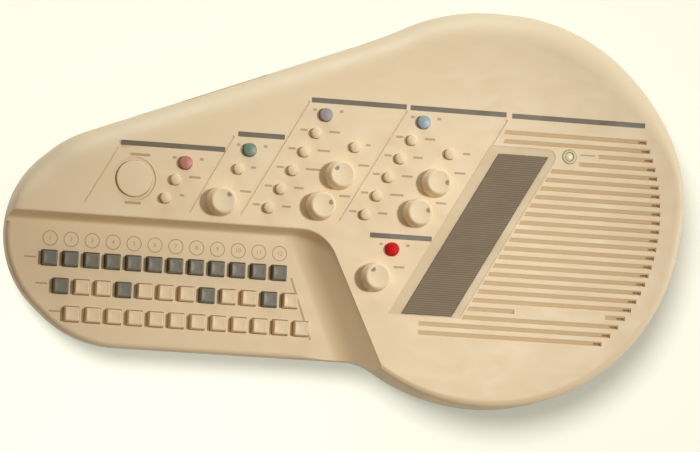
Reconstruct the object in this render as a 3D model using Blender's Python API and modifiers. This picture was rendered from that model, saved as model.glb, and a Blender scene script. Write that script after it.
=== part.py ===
"""Electronic autoharp: a pear-shaped desk instrument with chord keys and a strum plate.

Units are metres, +Z is up and +Y is the rear. Places in the plan are counted from a
point left of the middle, and at the end every piece is moved so that the origin is on
the table, under the middle of the instrument. Every separate piece is one object, and
each moving piece has its origin on the axis that it slides along or turns about.
"""
import math

import bmesh
import bpy
from mathutils import Matrix, Vector

MM = 0.001

# Fits and walls
GAP = 0.3 * MM                  # between two pieces that touch
SLIDE_GAP = 0.35 * MM           # round a button or key in its hole
WALL = 2.5 * MM                 # casing wall
CLEAR_OF_BOARD = 0.3 * MM       # what is left under a pressed key

# Plan outline: a round bowl at the right, a smaller end at the left, and a waist between
BOWL_CENTRE = (124.2 * MM, 0.0)
BOWL_RADIUS = 171.2 * MM
SWELL_REACH = 17.4 * MM         # the bowl swells towards the rear right, along a tighter
SWELL_HEADING = math.radians(40)  # circle that lies off its centre
SWELL_TIGHTER = 11.1 * MM
FRONT_Y = -137.8 * MM           # straight front edge under the chord keys
END_CENTRE_X = -191.0 * MM
END_RADIUS = 93.8 * MM
TIP_TIGHTER = 9.1 * MM          # how much tighter the far left curves than the end
TIP_PROUD = 4.7 * MM            # how far the tip stands out from the end's own curve
REAR_WAIST_RADIUS = 450.0 * MM
REAR_WAIST_DEPTH = 2.4 * MM
FRONT_WAIST_RADIUS = 50.0 * MM
PLAN_MIDDLE_X = 4.0 * MM        # where the middle of the outline is in the plan
ARC_STEP = math.radians(7.5)
SHARP_ANGLE = math.radians(35)
LINE_STEP = 60.0 * MM

# Heights
FOOT_HEIGHT = 4.0 * MM
JOINT_Z = 26.0 * MM             # where the two casings meet
CHORD_DECK_Z = 39.0 * MM
DECK_Z = 62.0 * MM

# Casing edges
REAR_EDGE_RADIUS = 28.0 * MM
FRONT_EDGE_RADIUS = 6.0 * MM
SIDE_EDGE_CHANGE = 3.0 * MM     # more on the right, less on the left
EDGE_STEPS = 4
DRAFT = 0.026                   # how much the wall leans in, per unit of height

# Step between the decks
RIDGE_Y = -31.2 * MM
RIDGE_CORNER_X = -19.7 * MM
RIDGE_LEAN = math.radians(25.8)
RIDGE_CORNER_RADIUS = 30.0 * MM
RIDGE_ROUNDING = 2.0 * MM
FOOT_LINE_Y = -35.2 * MM
FOOT_LINE_X = -20.0 * MM
FOOT_CORNER_RADIUS = 22.0 * MM
COVE_STEPS = 5
CORNER_STEPS = 7

# Chord keys
KEY_COLUMNS = 12
KEY_ROWS = 3
KEY_PITCH_X = 17.9 * MM
KEY_PITCH_Y = 23.1 * MM
KEY_ROW_SHIFT = 10.6 * MM
FIRST_KEY = (-251.4 * MM, -66.1 * MM)
KEY_LENGTH = 13.2 * MM
KEY_DEPTH = 12.8 * MM
KEY_RISE = 6.0 * MM
KEY_TAPER = 0.6 * MM
KEY_CORNER = 1.6 * MM
KEY_BEVEL = 0.8 * MM
KEY_FLANGE = 1.1 * MM           # how far the flange reaches past the key
KEY_FLANGE_THICKNESS = 2.0 * MM
KEY_TRAVEL = 2.5 * MM
DARK_KEYS_IN_SECOND_ROW = (0, 3, 7, 10)

# Round controls
KNOB_PLACES = {
    "melody_volume_knob": (-112.0 * MM, -11.2 * MM),
    "rhythm_tempo_knob": (-11.0 * MM, 18.0 * MM),
    "rhythm_volume_knob": (-26.3 * MM, -9.2 * MM),
    "chord_tone_knob": (73.3 * MM, 17.4 * MM),
    "chord_volume_knob": (58.0 * MM, -9.4 * MM),
    "master_volume_knob": (23.8 * MM, -66.4 * MM),
}
KNOB_RADIUS = 12.6 * MM
KNOB_TOP_RADIUS = 11.3 * MM
KNOB_HEIGHT = 13.6 * MM
KNOB_BEVEL = 1.4 * MM
KNOB_DISH = 0.4 * MM
KNOB_STEPS = 20
SHAFT_RADIUS = 3.0 * MM
POT_RADIUS = 8.5 * MM
POT_HEIGHT = 7.1 * MM

CAP_PLACES = {
    "pink_push_cap": (-143.7 * MM, 19.3 * MM),
    "teal_push_cap": (-89.5 * MM, 34.1 * MM),
    "lilac_push_cap": (-25.2 * MM, 68.6 * MM),
    "blue_push_cap": (60.3 * MM, 68.6 * MM),
    "red_push_cap": (37.8 * MM, -41.6 * MM),
}
CAP_RADIUS = 5.6 * MM
CAP_RISE = 5.2 * MM

SMALL_BUTTON_PLACES = {
    "small_button_1": (-151.7 * MM, 4.3 * MM),
    "small_button_2": (-159.6 * MM, -11.6 * MM),
    "small_button_3": (-98.3 * MM, 17.3 * MM),
    "small_button_4": (1.5 * MM, 42.9 * MM),
    "small_button_5": (84.3 * MM, 42.9 * MM),
}
SMALL_RADIUS = 4.4 * MM
SMALL_RISE = 5.6 * MM

SELECTOR_COLUMNS = ((-32.9 * MM, 52.4 * MM), (50.6 * MM, 52.4 * MM))
SELECTOR_COUNT = 5
SELECTOR_STEP = (-9.44 * MM, -16.55 * MM)

BUTTON_TRAVEL = 1.5 * MM
BUTTON_FLANGE = 1.2 * MM
BUTTON_FLANGE_THICKNESS = 1.4 * MM
BUTTON_BEVEL = 0.7 * MM
BUTTON_DOME = 0.2 * MM
BUTTON_STEPS = 12

PAD_PLACE = (-186.6 * MM, 3.0 * MM)
PAD_RADIUS = 15.2 * MM
PAD_RISE = 1.6 * MM
PAD_RING_RADIUS = 18.2 * MM
PAD_RING_DEPTH = 1.0 * MM
PAD_STEPS = 24

# Strum plate
STRUM_CORNER = (48.8 * MM, -95.2 * MM)
STRUM_WIDTH = 43.6 * MM
STRUM_LENGTH = 141.8 * MM       # measured along Y
STRUM_LEAN = math.radians(29.1)
STRUM_RECESS = 1.0 * MM
STRUM_PROUD = 0.6 * MM
STRUM_EDGE = 0.3 * MM

# Loudspeaker grille
LOUVRE_COUNT = 24
LOUVRE_PITCH = 7.66 * MM
LOUVRE_TOP_Y = 65.4 * MM
LOUVRE_WIDTH = 4.2 * MM
LOUVRE_DEPTH = 1.4 * MM
LOUVRE_ARC_CENTRE = (121.0 * MM, 0.0)
LOUVRE_ARC_RADIUS = 152.3 * MM
LOUVRE_FROM_STRUM = 9.6 * MM
LOUVRES_PAST_STRUM_TOP = 2
LOUVRES_PAST_STRUM_BOTTOM = 2
LOUVRE_TOP_START_X = 132.0 * MM
LOUVRE_BOTTOM_START_X = 64.0 * MM
PLAIN_LOUVRE = 20               # this channel is broken by a plain stretch
PLAIN_STRETCH = (147.0 * MM, 228.0 * MM)
SLOT_WIDTH = 1.4 * MM
SLOT_FROM_EDGE = 0.4 * MM
LAMP_PLACE = (190.3 * MM, 48.5 * MM)
LAMP_RADIUS = 3.4 * MM
LAMP_DEPTH = 1.5 * MM
LAMP_RING_RADIUS = 6.4 * MM
LAMP_STEPS = 16
PLAIN_ABOVE_LAMP = 26.0 * MM    # plain casing to the right of the lamp
PLAIN_BELOW_LAMP = 9.0 * MM

# Loudspeaker
SPEAKER_PLACE = (200.0 * MM, -10.0 * MM)
SPEAKER_RADIUS = 51.0 * MM
SPEAKER_RIM = 5.0 * MM
SPEAKER_RIM_THICKNESS = 3.0 * MM
SPEAKER_BASKET_RADIUS = 45.0 * MM
SPEAKER_BASKET_DEPTH = 20.0 * MM
SPEAKER_NECK_RADIUS = 22.0 * MM
MAGNET_RADIUS = 30.0 * MM
MAGNET_THICKNESS = 12.0 * MM
CONE_DEPTH = 14.0 * MM
SPEAKER_DUST_CAP = 4.0 * MM      # height of the cap at the middle of the cone
SPEAKER_ROLL = 1.5 * MM          # depth of the roll between cone and rim
CONE_THROAT_RADIUS = 14.0 * MM
SPEAKER_STEPS = 20

# Boards
BOARD_THICKNESS = 1.6 * MM
CONTROL_BOARD_Z = 50.0 * MM     # its top face
CHORD_BOARD_Z = CHORD_DECK_Z - WALL - GAP - KEY_FLANGE_THICKNESS - KEY_TRAVEL - CLEAR_OF_BOARD
BOARD_FROM_RIDGE = 6.5 * MM
BOARD_FROM_STRUM = 6.0 * MM
BOARD_FROM_REAR = 15.0 * MM
BOARD_PAST_PAD = 25.0 * MM
BOARD_PAST_KNOB = 15.6 * MM
BOARD_PAST_CAP = 24.0 * MM
CHORD_BOARD_MARGIN = 10.5 * MM
CHORD_BOARD_CUT = 30.0 * MM      # corner cut off at the rounded end of the casing
SWITCH_SIDE = 6.0 * MM
POST_RADIUS = 3.2 * MM
POST_STEPS = 8
CONTROL_POSTS = (
    (-200.0 * MM, -18.0 * MM),
    (-88.0 * MM, -18.0 * MM),
    (-60.0 * MM, 78.0 * MM),
    (112.0 * MM, 62.0 * MM),
    (42.0 * MM, -74.0 * MM),
)
CHORD_POSTS = (
    (-260.0 * MM, -78.0 * MM),
    (-140.0 * MM, -78.0 * MM),
    (-33.0 * MM, -78.0 * MM),
    (-222.0 * MM, -101.0 * MM),
    (-33.0 * MM, -101.0 * MM),
)

# Rear sockets on a flat land in the rounded edge
SOCKET_LAND_X = -130.0 * MM
SOCKET_LAND_LENGTH = 78.0 * MM
SOCKET_LAND_INSET = 1.4 * MM
SOCKET_LAND_LOW = 31.0 * MM
SOCKET_LAND_HIGH = 42.0 * MM
SOCKET_Z = 36.6 * MM
SOCKET_PITCH = 24.0 * MM
SOCKET_BACKING = 3.6 * MM       # wall left behind the land
SOCKET_HOLE_RADIUS = 4.2 * MM
SOCKET_BORE_RADIUS = 1.8 * MM   # takes a 3.5 mm plug
SOCKET_BODY = (13.0 * MM, 16.0 * MM, 12.0 * MM)
SOCKET_STEPS = 12

# Battery bay for six size C cells in two rows, and its door
BAY_CORNER = (-38.0 * MM, 22.0 * MM)
BAY_LENGTH = 156.0 * MM
BAY_WIDTH = 55.0 * MM
BAY_HEIGHT = 29.5 * MM
BAY_WALL = 2.0 * MM
BAY_LEDGE_RISE = 8.0 * MM       # how far the thicker foot of the bay wall reaches up
DOOR_LAP = 3.0 * MM
DOOR_THICKNESS = 2.2 * MM
HINGE_TAB_LENGTH = 3.5 * MM
HINGE_TAB_WIDTH = 14.0 * MM
HINGE_TAB_THICKNESS = 1.1 * MM
HINGE_TAB_OFFSETS = (-45.0 * MM, 45.0 * MM)
HINGE_TAB_ROOM = 0.8 * MM       # left round the tab as it turns
LATCH_WIDTH = 22.0 * MM
LATCH_RISE = 5.0 * MM
LATCH_THICKNESS = 1.6 * MM
LATCH_FROM_WALL = 0.8 * MM      # lets the latch swing out past the bay wall

# Lower casing: height above the flat bottom and how far in the wall is there
HULL = (
    (0.0 * MM, 25.0 * MM),
    (1.2 * MM, 17.0 * MM),
    (4.2 * MM, 10.0 * MM),
    (9.0 * MM, 4.6 * MM),
    (15.5 * MM, 1.1 * MM),
    (21.7 * MM, 0.0 * MM),
)
TONGUE_RISE = 2.4 * MM
TONGUE_THICKNESS = 1.4 * MM
FOOT_RADIUS = 8.0 * MM
FOOT_TAPER = 1.0 * MM
FOOT_STEPS = 16
BELOW = -1.0 * MM               # cutters from underneath start here
FOOT_PLACES = (
    (-215.0 * MM, -30.0 * MM),
    (-190.0 * MM, -98.0 * MM),
    (205.0 * MM, 95.0 * MM),
    (205.0 * MM, -95.0 * MM),
)
SCREW_PLACES = (
    (-250.0 * MM, -40.0 * MM),
    (-120.0 * MM, 55.0 * MM),
    (-60.0 * MM, -118.0 * MM),
    (60.0 * MM, 128.0 * MM),
    (70.0 * MM, -130.0 * MM),
    (255.0 * MM, 40.0 * MM),
    (235.0 * MM, -75.0 * MM),
)
SCREW_HOLE_RADIUS = 3.4 * MM
SCREW_HOLE_DEPTH = 1.2 * MM

COLOURS = {
    "cream": ((0.78, 0.66, 0.45, 1.0), 0.45, 0.0),
    "cream_low": ((0.55, 0.45, 0.31, 1.0), 0.5, 0.0),
    "dark_key": ((0.15, 0.14, 0.12, 1.0), 0.45, 0.0),
    "strum": ((0.19, 0.15, 0.10, 1.0), 0.5, 0.0),
    "pink": ((0.60, 0.28, 0.24, 1.0), 0.4, 0.0),
    "teal": ((0.28, 0.42, 0.36, 1.0), 0.4, 0.0),
    "lilac": ((0.36, 0.32, 0.33, 1.0), 0.4, 0.0),
    "blue": ((0.38, 0.48, 0.55, 1.0), 0.4, 0.0),
    "red": ((0.60, 0.0, 0.01, 1.0), 0.35, 0.0),
    "board": ((0.05, 0.20, 0.08, 1.0), 0.5, 0.0),
    "speaker": ((0.06, 0.06, 0.06, 1.0), 0.6, 0.0),
}


def clear_scene():
    """Remove whatever the file holds and make one collection for parts and one for cutters."""
    for obj in list(bpy.data.objects):
        bpy.data.objects.remove(obj, do_unlink=True)
    groups = []
    for name in ("electronic_autoharp", "cutters"):
        group = bpy.data.collections.new(name)
        bpy.context.scene.collection.children.link(group)
        groups.append(group)
    return groups


PARTS, CUTTERS = clear_scene()


def finish_material(key):
    """Return the shared colour settings of a finish as a material, made once for each piece."""
    colour, roughness, metallic = COLOURS[key]
    material = bpy.data.materials.new(key)
    material.use_nodes = True
    shader = material.node_tree.nodes["Principled BSDF"]
    shader.inputs["Base Color"].default_value = colour
    shader.inputs["Roughness"].default_value = roughness
    shader.inputs["Metallic"].default_value = metallic
    return material


def add_part(name, mesh, finish, place=(0.0, 0.0, 0.0)):
    """Put a mesh in the parts collection, with its own material and its origin at place."""
    part = bpy.data.objects.new(name, mesh)
    part.location = place
    mesh.materials.clear()
    mesh.materials.append(finish_material(finish))
    PARTS.objects.link(part)
    return part


def add_cutter(name, mesh):
    """Put a mesh in the cutters collection, hidden from renders."""
    cutter = bpy.data.objects.new(name, mesh)
    cutter.hide_render = True
    cutter.display_type = "WIRE"
    CUTTERS.objects.link(cutter)
    return cutter


def mesh_of(bm, name):
    """Turn the finished bmesh into a mesh."""
    mesh = bpy.data.meshes.new(name)
    bm.to_mesh(mesh)
    bm.free()
    return mesh


def box_mesh(name, low, high):
    """A box between two opposite corners."""
    middle = [(a + b) / 2 for a, b in zip(low, high)]
    size = [b - a for a, b in zip(low, high)]
    bm = bmesh.new()
    bmesh.ops.create_cube(bm, size=1.0, matrix=Matrix.LocRotScale(Vector(middle), None, Vector(size)))
    return mesh_of(bm, name)


def rod_mesh(name, place, radius, low, high, steps, top_radius=None):
    """An upright round rod, or a cone where its top radius is given."""
    bm = bmesh.new()
    bmesh.ops.create_cone(
        bm, cap_ends=True, segments=steps, radius1=radius, radius2=top_radius or radius,
        depth=high - low, matrix=Matrix.Translation((*place, (low + high) / 2)),
    )
    return mesh_of(bm, name)


def slab_mesh(name, outline, low, high):
    """An anticlockwise plan outline, drawn up from one height to another."""
    bm = bmesh.new()
    floor = bm.faces.new([bm.verts.new((x, y, low)) for x, y in outline])
    drawn = bmesh.ops.extrude_face_region(bm, geom=[floor])["geom"]
    top = [item for item in drawn if isinstance(item, bmesh.types.BMVert)]
    bmesh.ops.translate(bm, verts=top, vec=(0.0, 0.0, high - low))
    bmesh.ops.recalc_face_normals(bm, faces=bm.faces)
    return mesh_of(bm, name)


def turned_mesh(name, profile, steps):
    """Turn a profile of (radius, height), listed from the top down, about the Z axis."""
    line = bpy.data.meshes.new(name)
    edges = [(i, i + 1) for i in range(len(profile) - 1)]
    line.from_pydata([(radius, 0.0, height) for radius, height in profile], edges, [])
    blank = bpy.data.objects.new(name, line)
    PARTS.objects.link(blank)
    turn = blank.modifiers.new("turn", "SCREW")
    turn.steps = turn.render_steps = steps
    turn.merge_threshold = 0.01 * MM
    turn.use_merge_vertices = True
    bpy.context.view_layer.update()
    mesh = bpy.data.meshes.new_from_object(blank.evaluated_get(bpy.context.evaluated_depsgraph_get()))
    bpy.data.objects.remove(blank)
    mesh.shade_smooth()
    mesh.set_sharp_from_angle(angle=SHARP_ANGLE)
    return mesh


def loft_mesh(name, rings):
    """Skin a stack of unlike rings, each anticlockwise from above and listed bottom to top."""
    bm = bmesh.new()
    loops = [[bm.verts.new(point) for point in ring] for ring in rings]
    bm.faces.new(reversed(loops[0]))
    for lower, upper in zip(loops, loops[1:]):
        for i in range(len(lower)):
            bm.faces.new((lower[i - 1], lower[i], upper[i], upper[i - 1]))
    bm.faces.new(loops[-1])
    return mesh_of(bm, name)


def merged_mesh(name, meshes):
    """Hold several separate closed meshes in one, for a tool that cuts or adds them all."""
    bm = bmesh.new()
    for mesh in meshes:
        bm.from_mesh(mesh)
        bpy.data.meshes.remove(mesh)
    return mesh_of(bm, name)


def use_tool(part, tool, operation):
    """Cut a tool out of a part, or join it on, with a Boolean modifier."""
    modifier = part.modifiers.new(tool.name, "BOOLEAN")
    modifier.operation = operation
    modifier.object = tool
    modifier.solver = "EXACT"


def tangent_heading(first, second):
    """Heading of the belt that runs from one pulley to the next."""
    (c1, r1), (c2, r2) = first, second
    across = c2 - c1
    rise = (r2 - r1) / across.length
    return math.atan2(across.y, across.x) - math.asin(max(-1.0, min(1.0, rise)))


def belt_outline(pulleys, arc_step, line_step):
    """Points and outward normals of a belt round pulleys; a negative radius bends it in."""
    count = len(pulleys)
    headings = [tangent_heading(pulleys[i], pulleys[(i + 1) % count]) for i in range(count)]
    outline = []

    def add(point, normal):
        if not outline or (outline[-1][0] - point).length > 0.5 * MM:
            outline.append((point, normal))

    for i, (centre, radius) in enumerate(pulleys):
        start = headings[i - 1] - math.pi / 2
        turn = (headings[i] - headings[i - 1]) % math.tau
        if radius < 0:
            turn -= math.tau
        steps = max(2, math.ceil(abs(turn) / arc_step))
        for k in range(steps + 1):
            angle = start + turn * k / steps
            normal = Vector((math.cos(angle), math.sin(angle)))
            add(centre + normal * radius, normal)
        normal = outline[-1][1]
        here = outline[-1][0]
        next_centre, next_radius = pulleys[(i + 1) % count]
        there = next_centre + normal * next_radius
        pieces = max(1, round((there - here).length / line_step))
        for k in range(1, pieces):
            add(here.lerp(there, k / pieces), normal)
    if (outline[-1][0] - outline[0][0]).length < 0.5 * MM:
        outline.pop()
    return outline


def casing_pulleys():
    """The circles that the outline runs round, anticlockwise from the bowl."""
    bowl = Vector(BOWL_CENTRE)
    swell = bowl + SWELL_REACH * Vector((math.cos(SWELL_HEADING), math.sin(SWELL_HEADING)))
    end = Vector((END_CENTRE_X, FRONT_Y + END_RADIUS))
    tip_radius = END_RADIUS - TIP_TIGHTER
    tip = end - Vector((TIP_TIGHTER + TIP_PROUD, 0.0))

    heading = tangent_heading((bowl, BOWL_RADIUS), (end, END_RADIUS))
    along = Vector((math.cos(heading), math.sin(heading)))
    outward = Vector((along.y, -along.x))
    rise = BOWL_RADIUS + REAR_WAIST_RADIUS - REAR_WAIST_DEPTH
    run = math.sqrt((BOWL_RADIUS + REAR_WAIST_RADIUS) ** 2 - rise ** 2)
    rear_waist = bowl + outward * rise + along * run

    drop = bowl.y - (FRONT_Y - FRONT_WAIST_RADIUS)
    back = math.sqrt((BOWL_RADIUS + FRONT_WAIST_RADIUS) ** 2 - drop ** 2)
    front_waist = bowl - Vector((back, drop))
    return [
        (bowl, BOWL_RADIUS),
        (swell, BOWL_RADIUS - SWELL_TIGHTER),
        (bowl, BOWL_RADIUS),
        (rear_waist, -REAR_WAIST_RADIUS),
        (end, END_RADIUS),
        (tip, tip_radius),
        (end, END_RADIUS),
        (front_waist, -FRONT_WAIST_RADIUS),
    ]


OUTLINE = belt_outline(casing_pulleys(), ARC_STEP, LINE_STEP)


def outline_ring(inset_of, height_of):
    """A ring of points along the outline, each moved in and up by its own amounts."""
    ring = []
    for point, normal in OUTLINE:
        place = point - normal * inset_of(normal)
        ring.append((place.x, place.y, height_of(normal)))
    return ring


def smooth_step(low, high, value):
    """Ease from 0 to 1 as value goes from low to high."""
    t = min(1.0, max(0.0, (value - low) / (high - low)))
    return t * t * (3.0 - 2.0 * t)


def edge_radius(normal):
    """Radius of the casing's upper edge, which is large at the rear and small elsewhere."""
    small = FRONT_EDGE_RADIUS + SIDE_EDGE_CHANGE * normal.x
    return small + (REAR_EDGE_RADIUS - small) * smooth_step(0.1, 0.75, normal.y)


def casing_block(name, low, top, inward):
    """The upper casing without its chord deck, as a block with rounded upper edges."""
    def radius(normal):
        return max(edge_radius(normal) - inward, 0.6 * MM)

    def lean(normal):
        return inward + DRAFT * (top - radius(normal) - JOINT_Z)

    rings = [outline_ring(lambda n: inward, lambda n: low)]
    for k in range(EDGE_STEPS + 1):
        angle = math.pi / 2 * k / EDGE_STEPS
        rings.append(outline_ring(
            lambda n: lean(n) + radius(n) * (1.0 - math.cos(angle)),
            lambda n: top - radius(n) * (1.0 - math.sin(angle)),
        ))
    return loft_mesh(name, rings)


def corner_path(start, corner, heading_out, radius, centre, reach):
    """A straight run to the right, a round corner, and a straight run out at a heading."""
    path = [Vector(start), Vector((centre[0], corner[1]))]
    turn = -heading_out
    for k in range(1, CORNER_STEPS + 1):
        angle = math.pi / 2 - turn * k / CORNER_STEPS
        path.append(Vector(centre) + radius * Vector((math.cos(angle), math.sin(angle))))
    out = Vector((math.cos(heading_out), math.sin(heading_out)))
    path.append(path[-1] + out * ((reach - path[-1].y) / out.y))
    return path


def deck_cutter(name, outward, lower):
    """What is cut away above the chord deck: a flat floor, a cove and a rounded ridge.

    outward moves the walls into the casing, and lower sinks the floor and the ridge, so
    that the same shape makes both the outer face and the inner face of the wall.
    """
    left, front, high = -0.34, -0.2, DECK_Z + 20.0 * MM
    ridge_heading = -(math.pi / 2 - RIDGE_LEAN)
    ridge_setback = RIDGE_CORNER_RADIUS * math.tan(-ridge_heading / 2)
    ridge_centre = (RIDGE_CORNER_X - ridge_setback, RIDGE_Y - RIDGE_CORNER_RADIUS)
    foot_centre = (FOOT_LINE_X - FOOT_CORNER_RADIUS, FOOT_LINE_Y - FOOT_CORNER_RADIUS)

    def ridge_path(extra):
        y = RIDGE_Y + outward + extra
        radius = RIDGE_CORNER_RADIUS + outward + extra
        return corner_path((left, y), (0.0, y), ridge_heading, radius, ridge_centre, front)

    foot_y = FOOT_LINE_Y + outward
    foot = corner_path(
        (left, foot_y), (0.0, foot_y), -math.pi / 2,
        FOOT_CORNER_RADIUS + outward, foot_centre, front,
    )
    ridge = ridge_path(0.0)
    floor_z = CHORD_DECK_Z - lower
    cove_top = DECK_Z - lower - RIDGE_ROUNDING
    rows = []
    for k in range(COVE_STEPS + 1):
        angle = math.pi / 2 * k / COVE_STEPS
        height = floor_z + (cove_top - floor_z) * (1.0 - math.cos(angle))
        rows.append([
            (*a.lerp(b, math.sin(angle)), height) for a, b in zip(foot, ridge)
        ])
    for k in (1, 2):
        angle = math.pi / 4 * k
        extra = RIDGE_ROUNDING * (1.0 - math.cos(angle))
        height = cove_top + RIDGE_ROUNDING * math.sin(angle)
        rows.append([(*p, height) for p in ridge_path(extra)])
    rows.append([(x, y, high) for x, y, z in rows[-1]])
    rings = [row + [(left, front, row[0][2])] for row in rows]
    return loft_mesh(name, [list(reversed(ring)) for ring in rings])


def key_places():
    """Row, column and centre of each chord key."""
    for row in range(KEY_ROWS):
        for column in range(KEY_COLUMNS):
            x = FIRST_KEY[0] + column * KEY_PITCH_X + row * KEY_ROW_SHIFT
            yield row, column, (x, FIRST_KEY[1] - row * KEY_PITCH_Y)


def selector_places():
    """Centres of the ten selector buttons."""
    for start in SELECTOR_COLUMNS:
        for k in range(SELECTOR_COUNT):
            yield (start[0] + k * SELECTOR_STEP[0], start[1] + k * SELECTOR_STEP[1])


def strum_outline(margin):
    """The strum plate's parallelogram, made larger all round by margin."""
    lean = math.tan(STRUM_LEAN)
    side = margin / math.cos(STRUM_LEAN)
    x, y = STRUM_CORNER
    low_y, high_y = y - margin, y + STRUM_LENGTH + margin
    low_x = x - side - lean * margin
    high_x = x - side + lean * (STRUM_LENGTH + margin)
    width = STRUM_WIDTH + 2.0 * side
    return [(low_x, low_y), (low_x + width, low_y), (high_x + width, high_y), (high_x, high_y)]


def louvre_runs():
    """Middle, left end, right end and left lean of each stretch of louvre channel."""
    strum_lean = math.tan(STRUM_LEAN)
    plate_right = STRUM_CORNER[0] + STRUM_WIDTH + LOUVRE_FROM_STRUM
    for i in range(LOUVRE_COUNT):
        y = LOUVRE_TOP_Y - i * LOUVRE_PITCH
        start, lean = plate_right + strum_lean * (y - STRUM_CORNER[1]), strum_lean
        if i < LOUVRES_PAST_STRUM_TOP:
            start = LOUVRE_TOP_START_X
        if i >= LOUVRE_COUNT - LOUVRES_PAST_STRUM_BOTTOM:
            start, lean = LOUVRE_BOTTOM_START_X, 0.0
        if abs(y - LAMP_PLACE[1]) < LAMP_RING_RADIUS + LOUVRE_WIDTH / 2:
            plain = PLAIN_ABOVE_LAMP if y > LAMP_PLACE[1] else PLAIN_BELOW_LAMP
            start, lean = LAMP_PLACE[0] + plain, 0.0
        rise = y - LOUVRE_ARC_CENTRE[1]
        end = LOUVRE_ARC_CENTRE[0] + math.sqrt(LOUVRE_ARC_RADIUS ** 2 - rise ** 2)
        if i == PLAIN_LOUVRE:
            yield y, start, PLAIN_STRETCH[0], lean
            start, lean = PLAIN_STRETCH[1], 0.0
        yield y, start, end, lean


def build_top_shell():
    """Upper casing: both decks, the cove, the louvres and every hole, with an even wall."""
    shell = add_part("top_shell", casing_block("top_shell", JOINT_Z + GAP / 2, DECK_Z, 0.0), "cream")
    use_tool(shell, add_cutter("deck_cut", deck_cutter("deck_cut", 0.0, 0.0)), "DIFFERENCE")

    hollow = add_cutter("hollow", casing_block("hollow", JOINT_Z - 5.0 * MM, DECK_Z - WALL, WALL))
    inner_cut = add_cutter("inner_deck_cut", deck_cutter("inner_deck_cut", WALL, WALL))
    use_tool(hollow, inner_cut, "DIFFERENCE")
    use_tool(shell, hollow, "DIFFERENCE")

    under_deck = DECK_Z - WALL / 2
    posts = [
        rod_mesh("post", place, POST_RADIUS, CONTROL_BOARD_Z + GAP, under_deck, POST_STEPS)
        for place in CONTROL_POSTS
    ]
    posts.append(socket_backing())
    use_tool(shell, add_cutter("posts", merged_mesh("posts", posts)), "UNION")
    use_tool(shell, add_cutter("holes", merged_mesh("holes", list(deck_holes()))), "DIFFERENCE")
    use_tool(shell, add_cutter("recesses", merged_mesh("recesses", list(recesses()))), "DIFFERENCE")
    use_tool(shell, add_cutter("socket_land", socket_land()), "DIFFERENCE")
    use_tool(shell, add_cutter("socket_holes", socket_holes()), "DIFFERENCE")


def deck_holes():
    """Cutters that go right through a deck."""
    low, high = DECK_Z - 2.0 * WALL, DECK_Z + WALL
    round_holes = [(place, SHAFT_RADIUS) for place in KNOB_PLACES.values()]
    round_holes += [(place, CAP_RADIUS) for place in CAP_PLACES.values()]
    round_holes += [(place, SMALL_RADIUS) for place in SMALL_BUTTON_PLACES.values()]
    round_holes += [(place, SMALL_RADIUS) for place in selector_places()]
    for place, radius in round_holes:
        yield rod_mesh("hole", place, radius + SLIDE_GAP, low, high, BUTTON_STEPS)
    yield rod_mesh("hole", PAD_PLACE, PAD_RADIUS + SLIDE_GAP, low, high, PAD_STEPS)
    half_x = KEY_LENGTH / 2 + SLIDE_GAP
    half_y = KEY_DEPTH / 2 + SLIDE_GAP
    key_low, key_high = CHORD_DECK_Z - 2.0 * WALL, CHORD_DECK_Z + WALL
    for _, _, (x, y) in key_places():
        yield box_mesh(
            "key_hole", (x - half_x, y - half_y, key_low), (x + half_x, y + half_y, key_high)
        )
    slot_reach = SPEAKER_BASKET_RADIUS - SPEAKER_RIM
    for y, start, end, _ in louvre_runs():
        away = abs(y - SPEAKER_PLACE[1])
        if away < slot_reach - LOUVRE_PITCH:
            half = math.sqrt(slot_reach ** 2 - away ** 2)
            left = max(start + LOUVRE_WIDTH, SPEAKER_PLACE[0] - half)
            right = min(end - LOUVRE_WIDTH, SPEAKER_PLACE[0] + half)
            high_y = y + LOUVRE_WIDTH / 2 - SLOT_FROM_EDGE
            if right - left > LOUVRE_WIDTH:
                yield box_mesh("slot", (left, high_y - SLOT_WIDTH, low), (right, high_y, high))


def recesses():
    """Blind cutters: seats for the strum plate, pad and lamp, and the louvre channels."""
    high = DECK_Z + WALL
    yield rod_mesh("seat", LAMP_PLACE, LAMP_RADIUS, DECK_Z - LAMP_DEPTH, high, LAMP_STEPS)
    yield slab_mesh("strum_seat", strum_outline(GAP), DECK_Z - STRUM_RECESS, high)
    yield rod_mesh("seat", PAD_PLACE, PAD_RING_RADIUS, DECK_Z - PAD_RING_DEPTH, high, PAD_STEPS)
    half = LOUVRE_WIDTH / 2
    for y, start, end, slope in louvre_runs():
        outline = [
            (start - slope * half, y - half), (end, y - half),
            (end, y + half), (start + slope * half, y + half),
        ]
        yield slab_mesh("louvre", outline, DECK_Z - LOUVRE_DEPTH, high)


def rear_frame():
    """Middle of the socket land on the outline, the direction along it and outwards."""
    rear = [(p, n) for p, n in OUTLINE if n.y > 0.9 and n.x < 0.0]
    point, normal = min(rear, key=lambda item: abs(item[0].x - SOCKET_LAND_X))
    along = Vector((normal.y, -normal.x))
    return point, along, normal


def rear_box(along_low, along_high, in_low, in_high, low, high, name):
    """A box in the rear edge's own directions, between two depths from the outline."""
    point, along, normal = rear_frame()
    corners = [
        point + along * a - normal * b
        for a, b in (
            (along_low, in_high), (along_high, in_high),
            (along_high, in_low), (along_low, in_low),
        )
    ]
    return slab_mesh(name, corners, low, high)


def socket_backing():
    """Thicker wall behind the socket land, so that the land can be flat."""
    half = SOCKET_LAND_LENGTH / 2 + WALL
    depth = SOCKET_LAND_INSET + SOCKET_BACKING
    return rear_box(
        -half, half, WALL, depth, SOCKET_LAND_LOW - WALL, SOCKET_LAND_HIGH, "backing"
    )


def socket_offsets():
    """How far each socket is from the middle of the land."""
    return [SOCKET_PITCH * k for k in (-1, 0, 1)]


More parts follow.
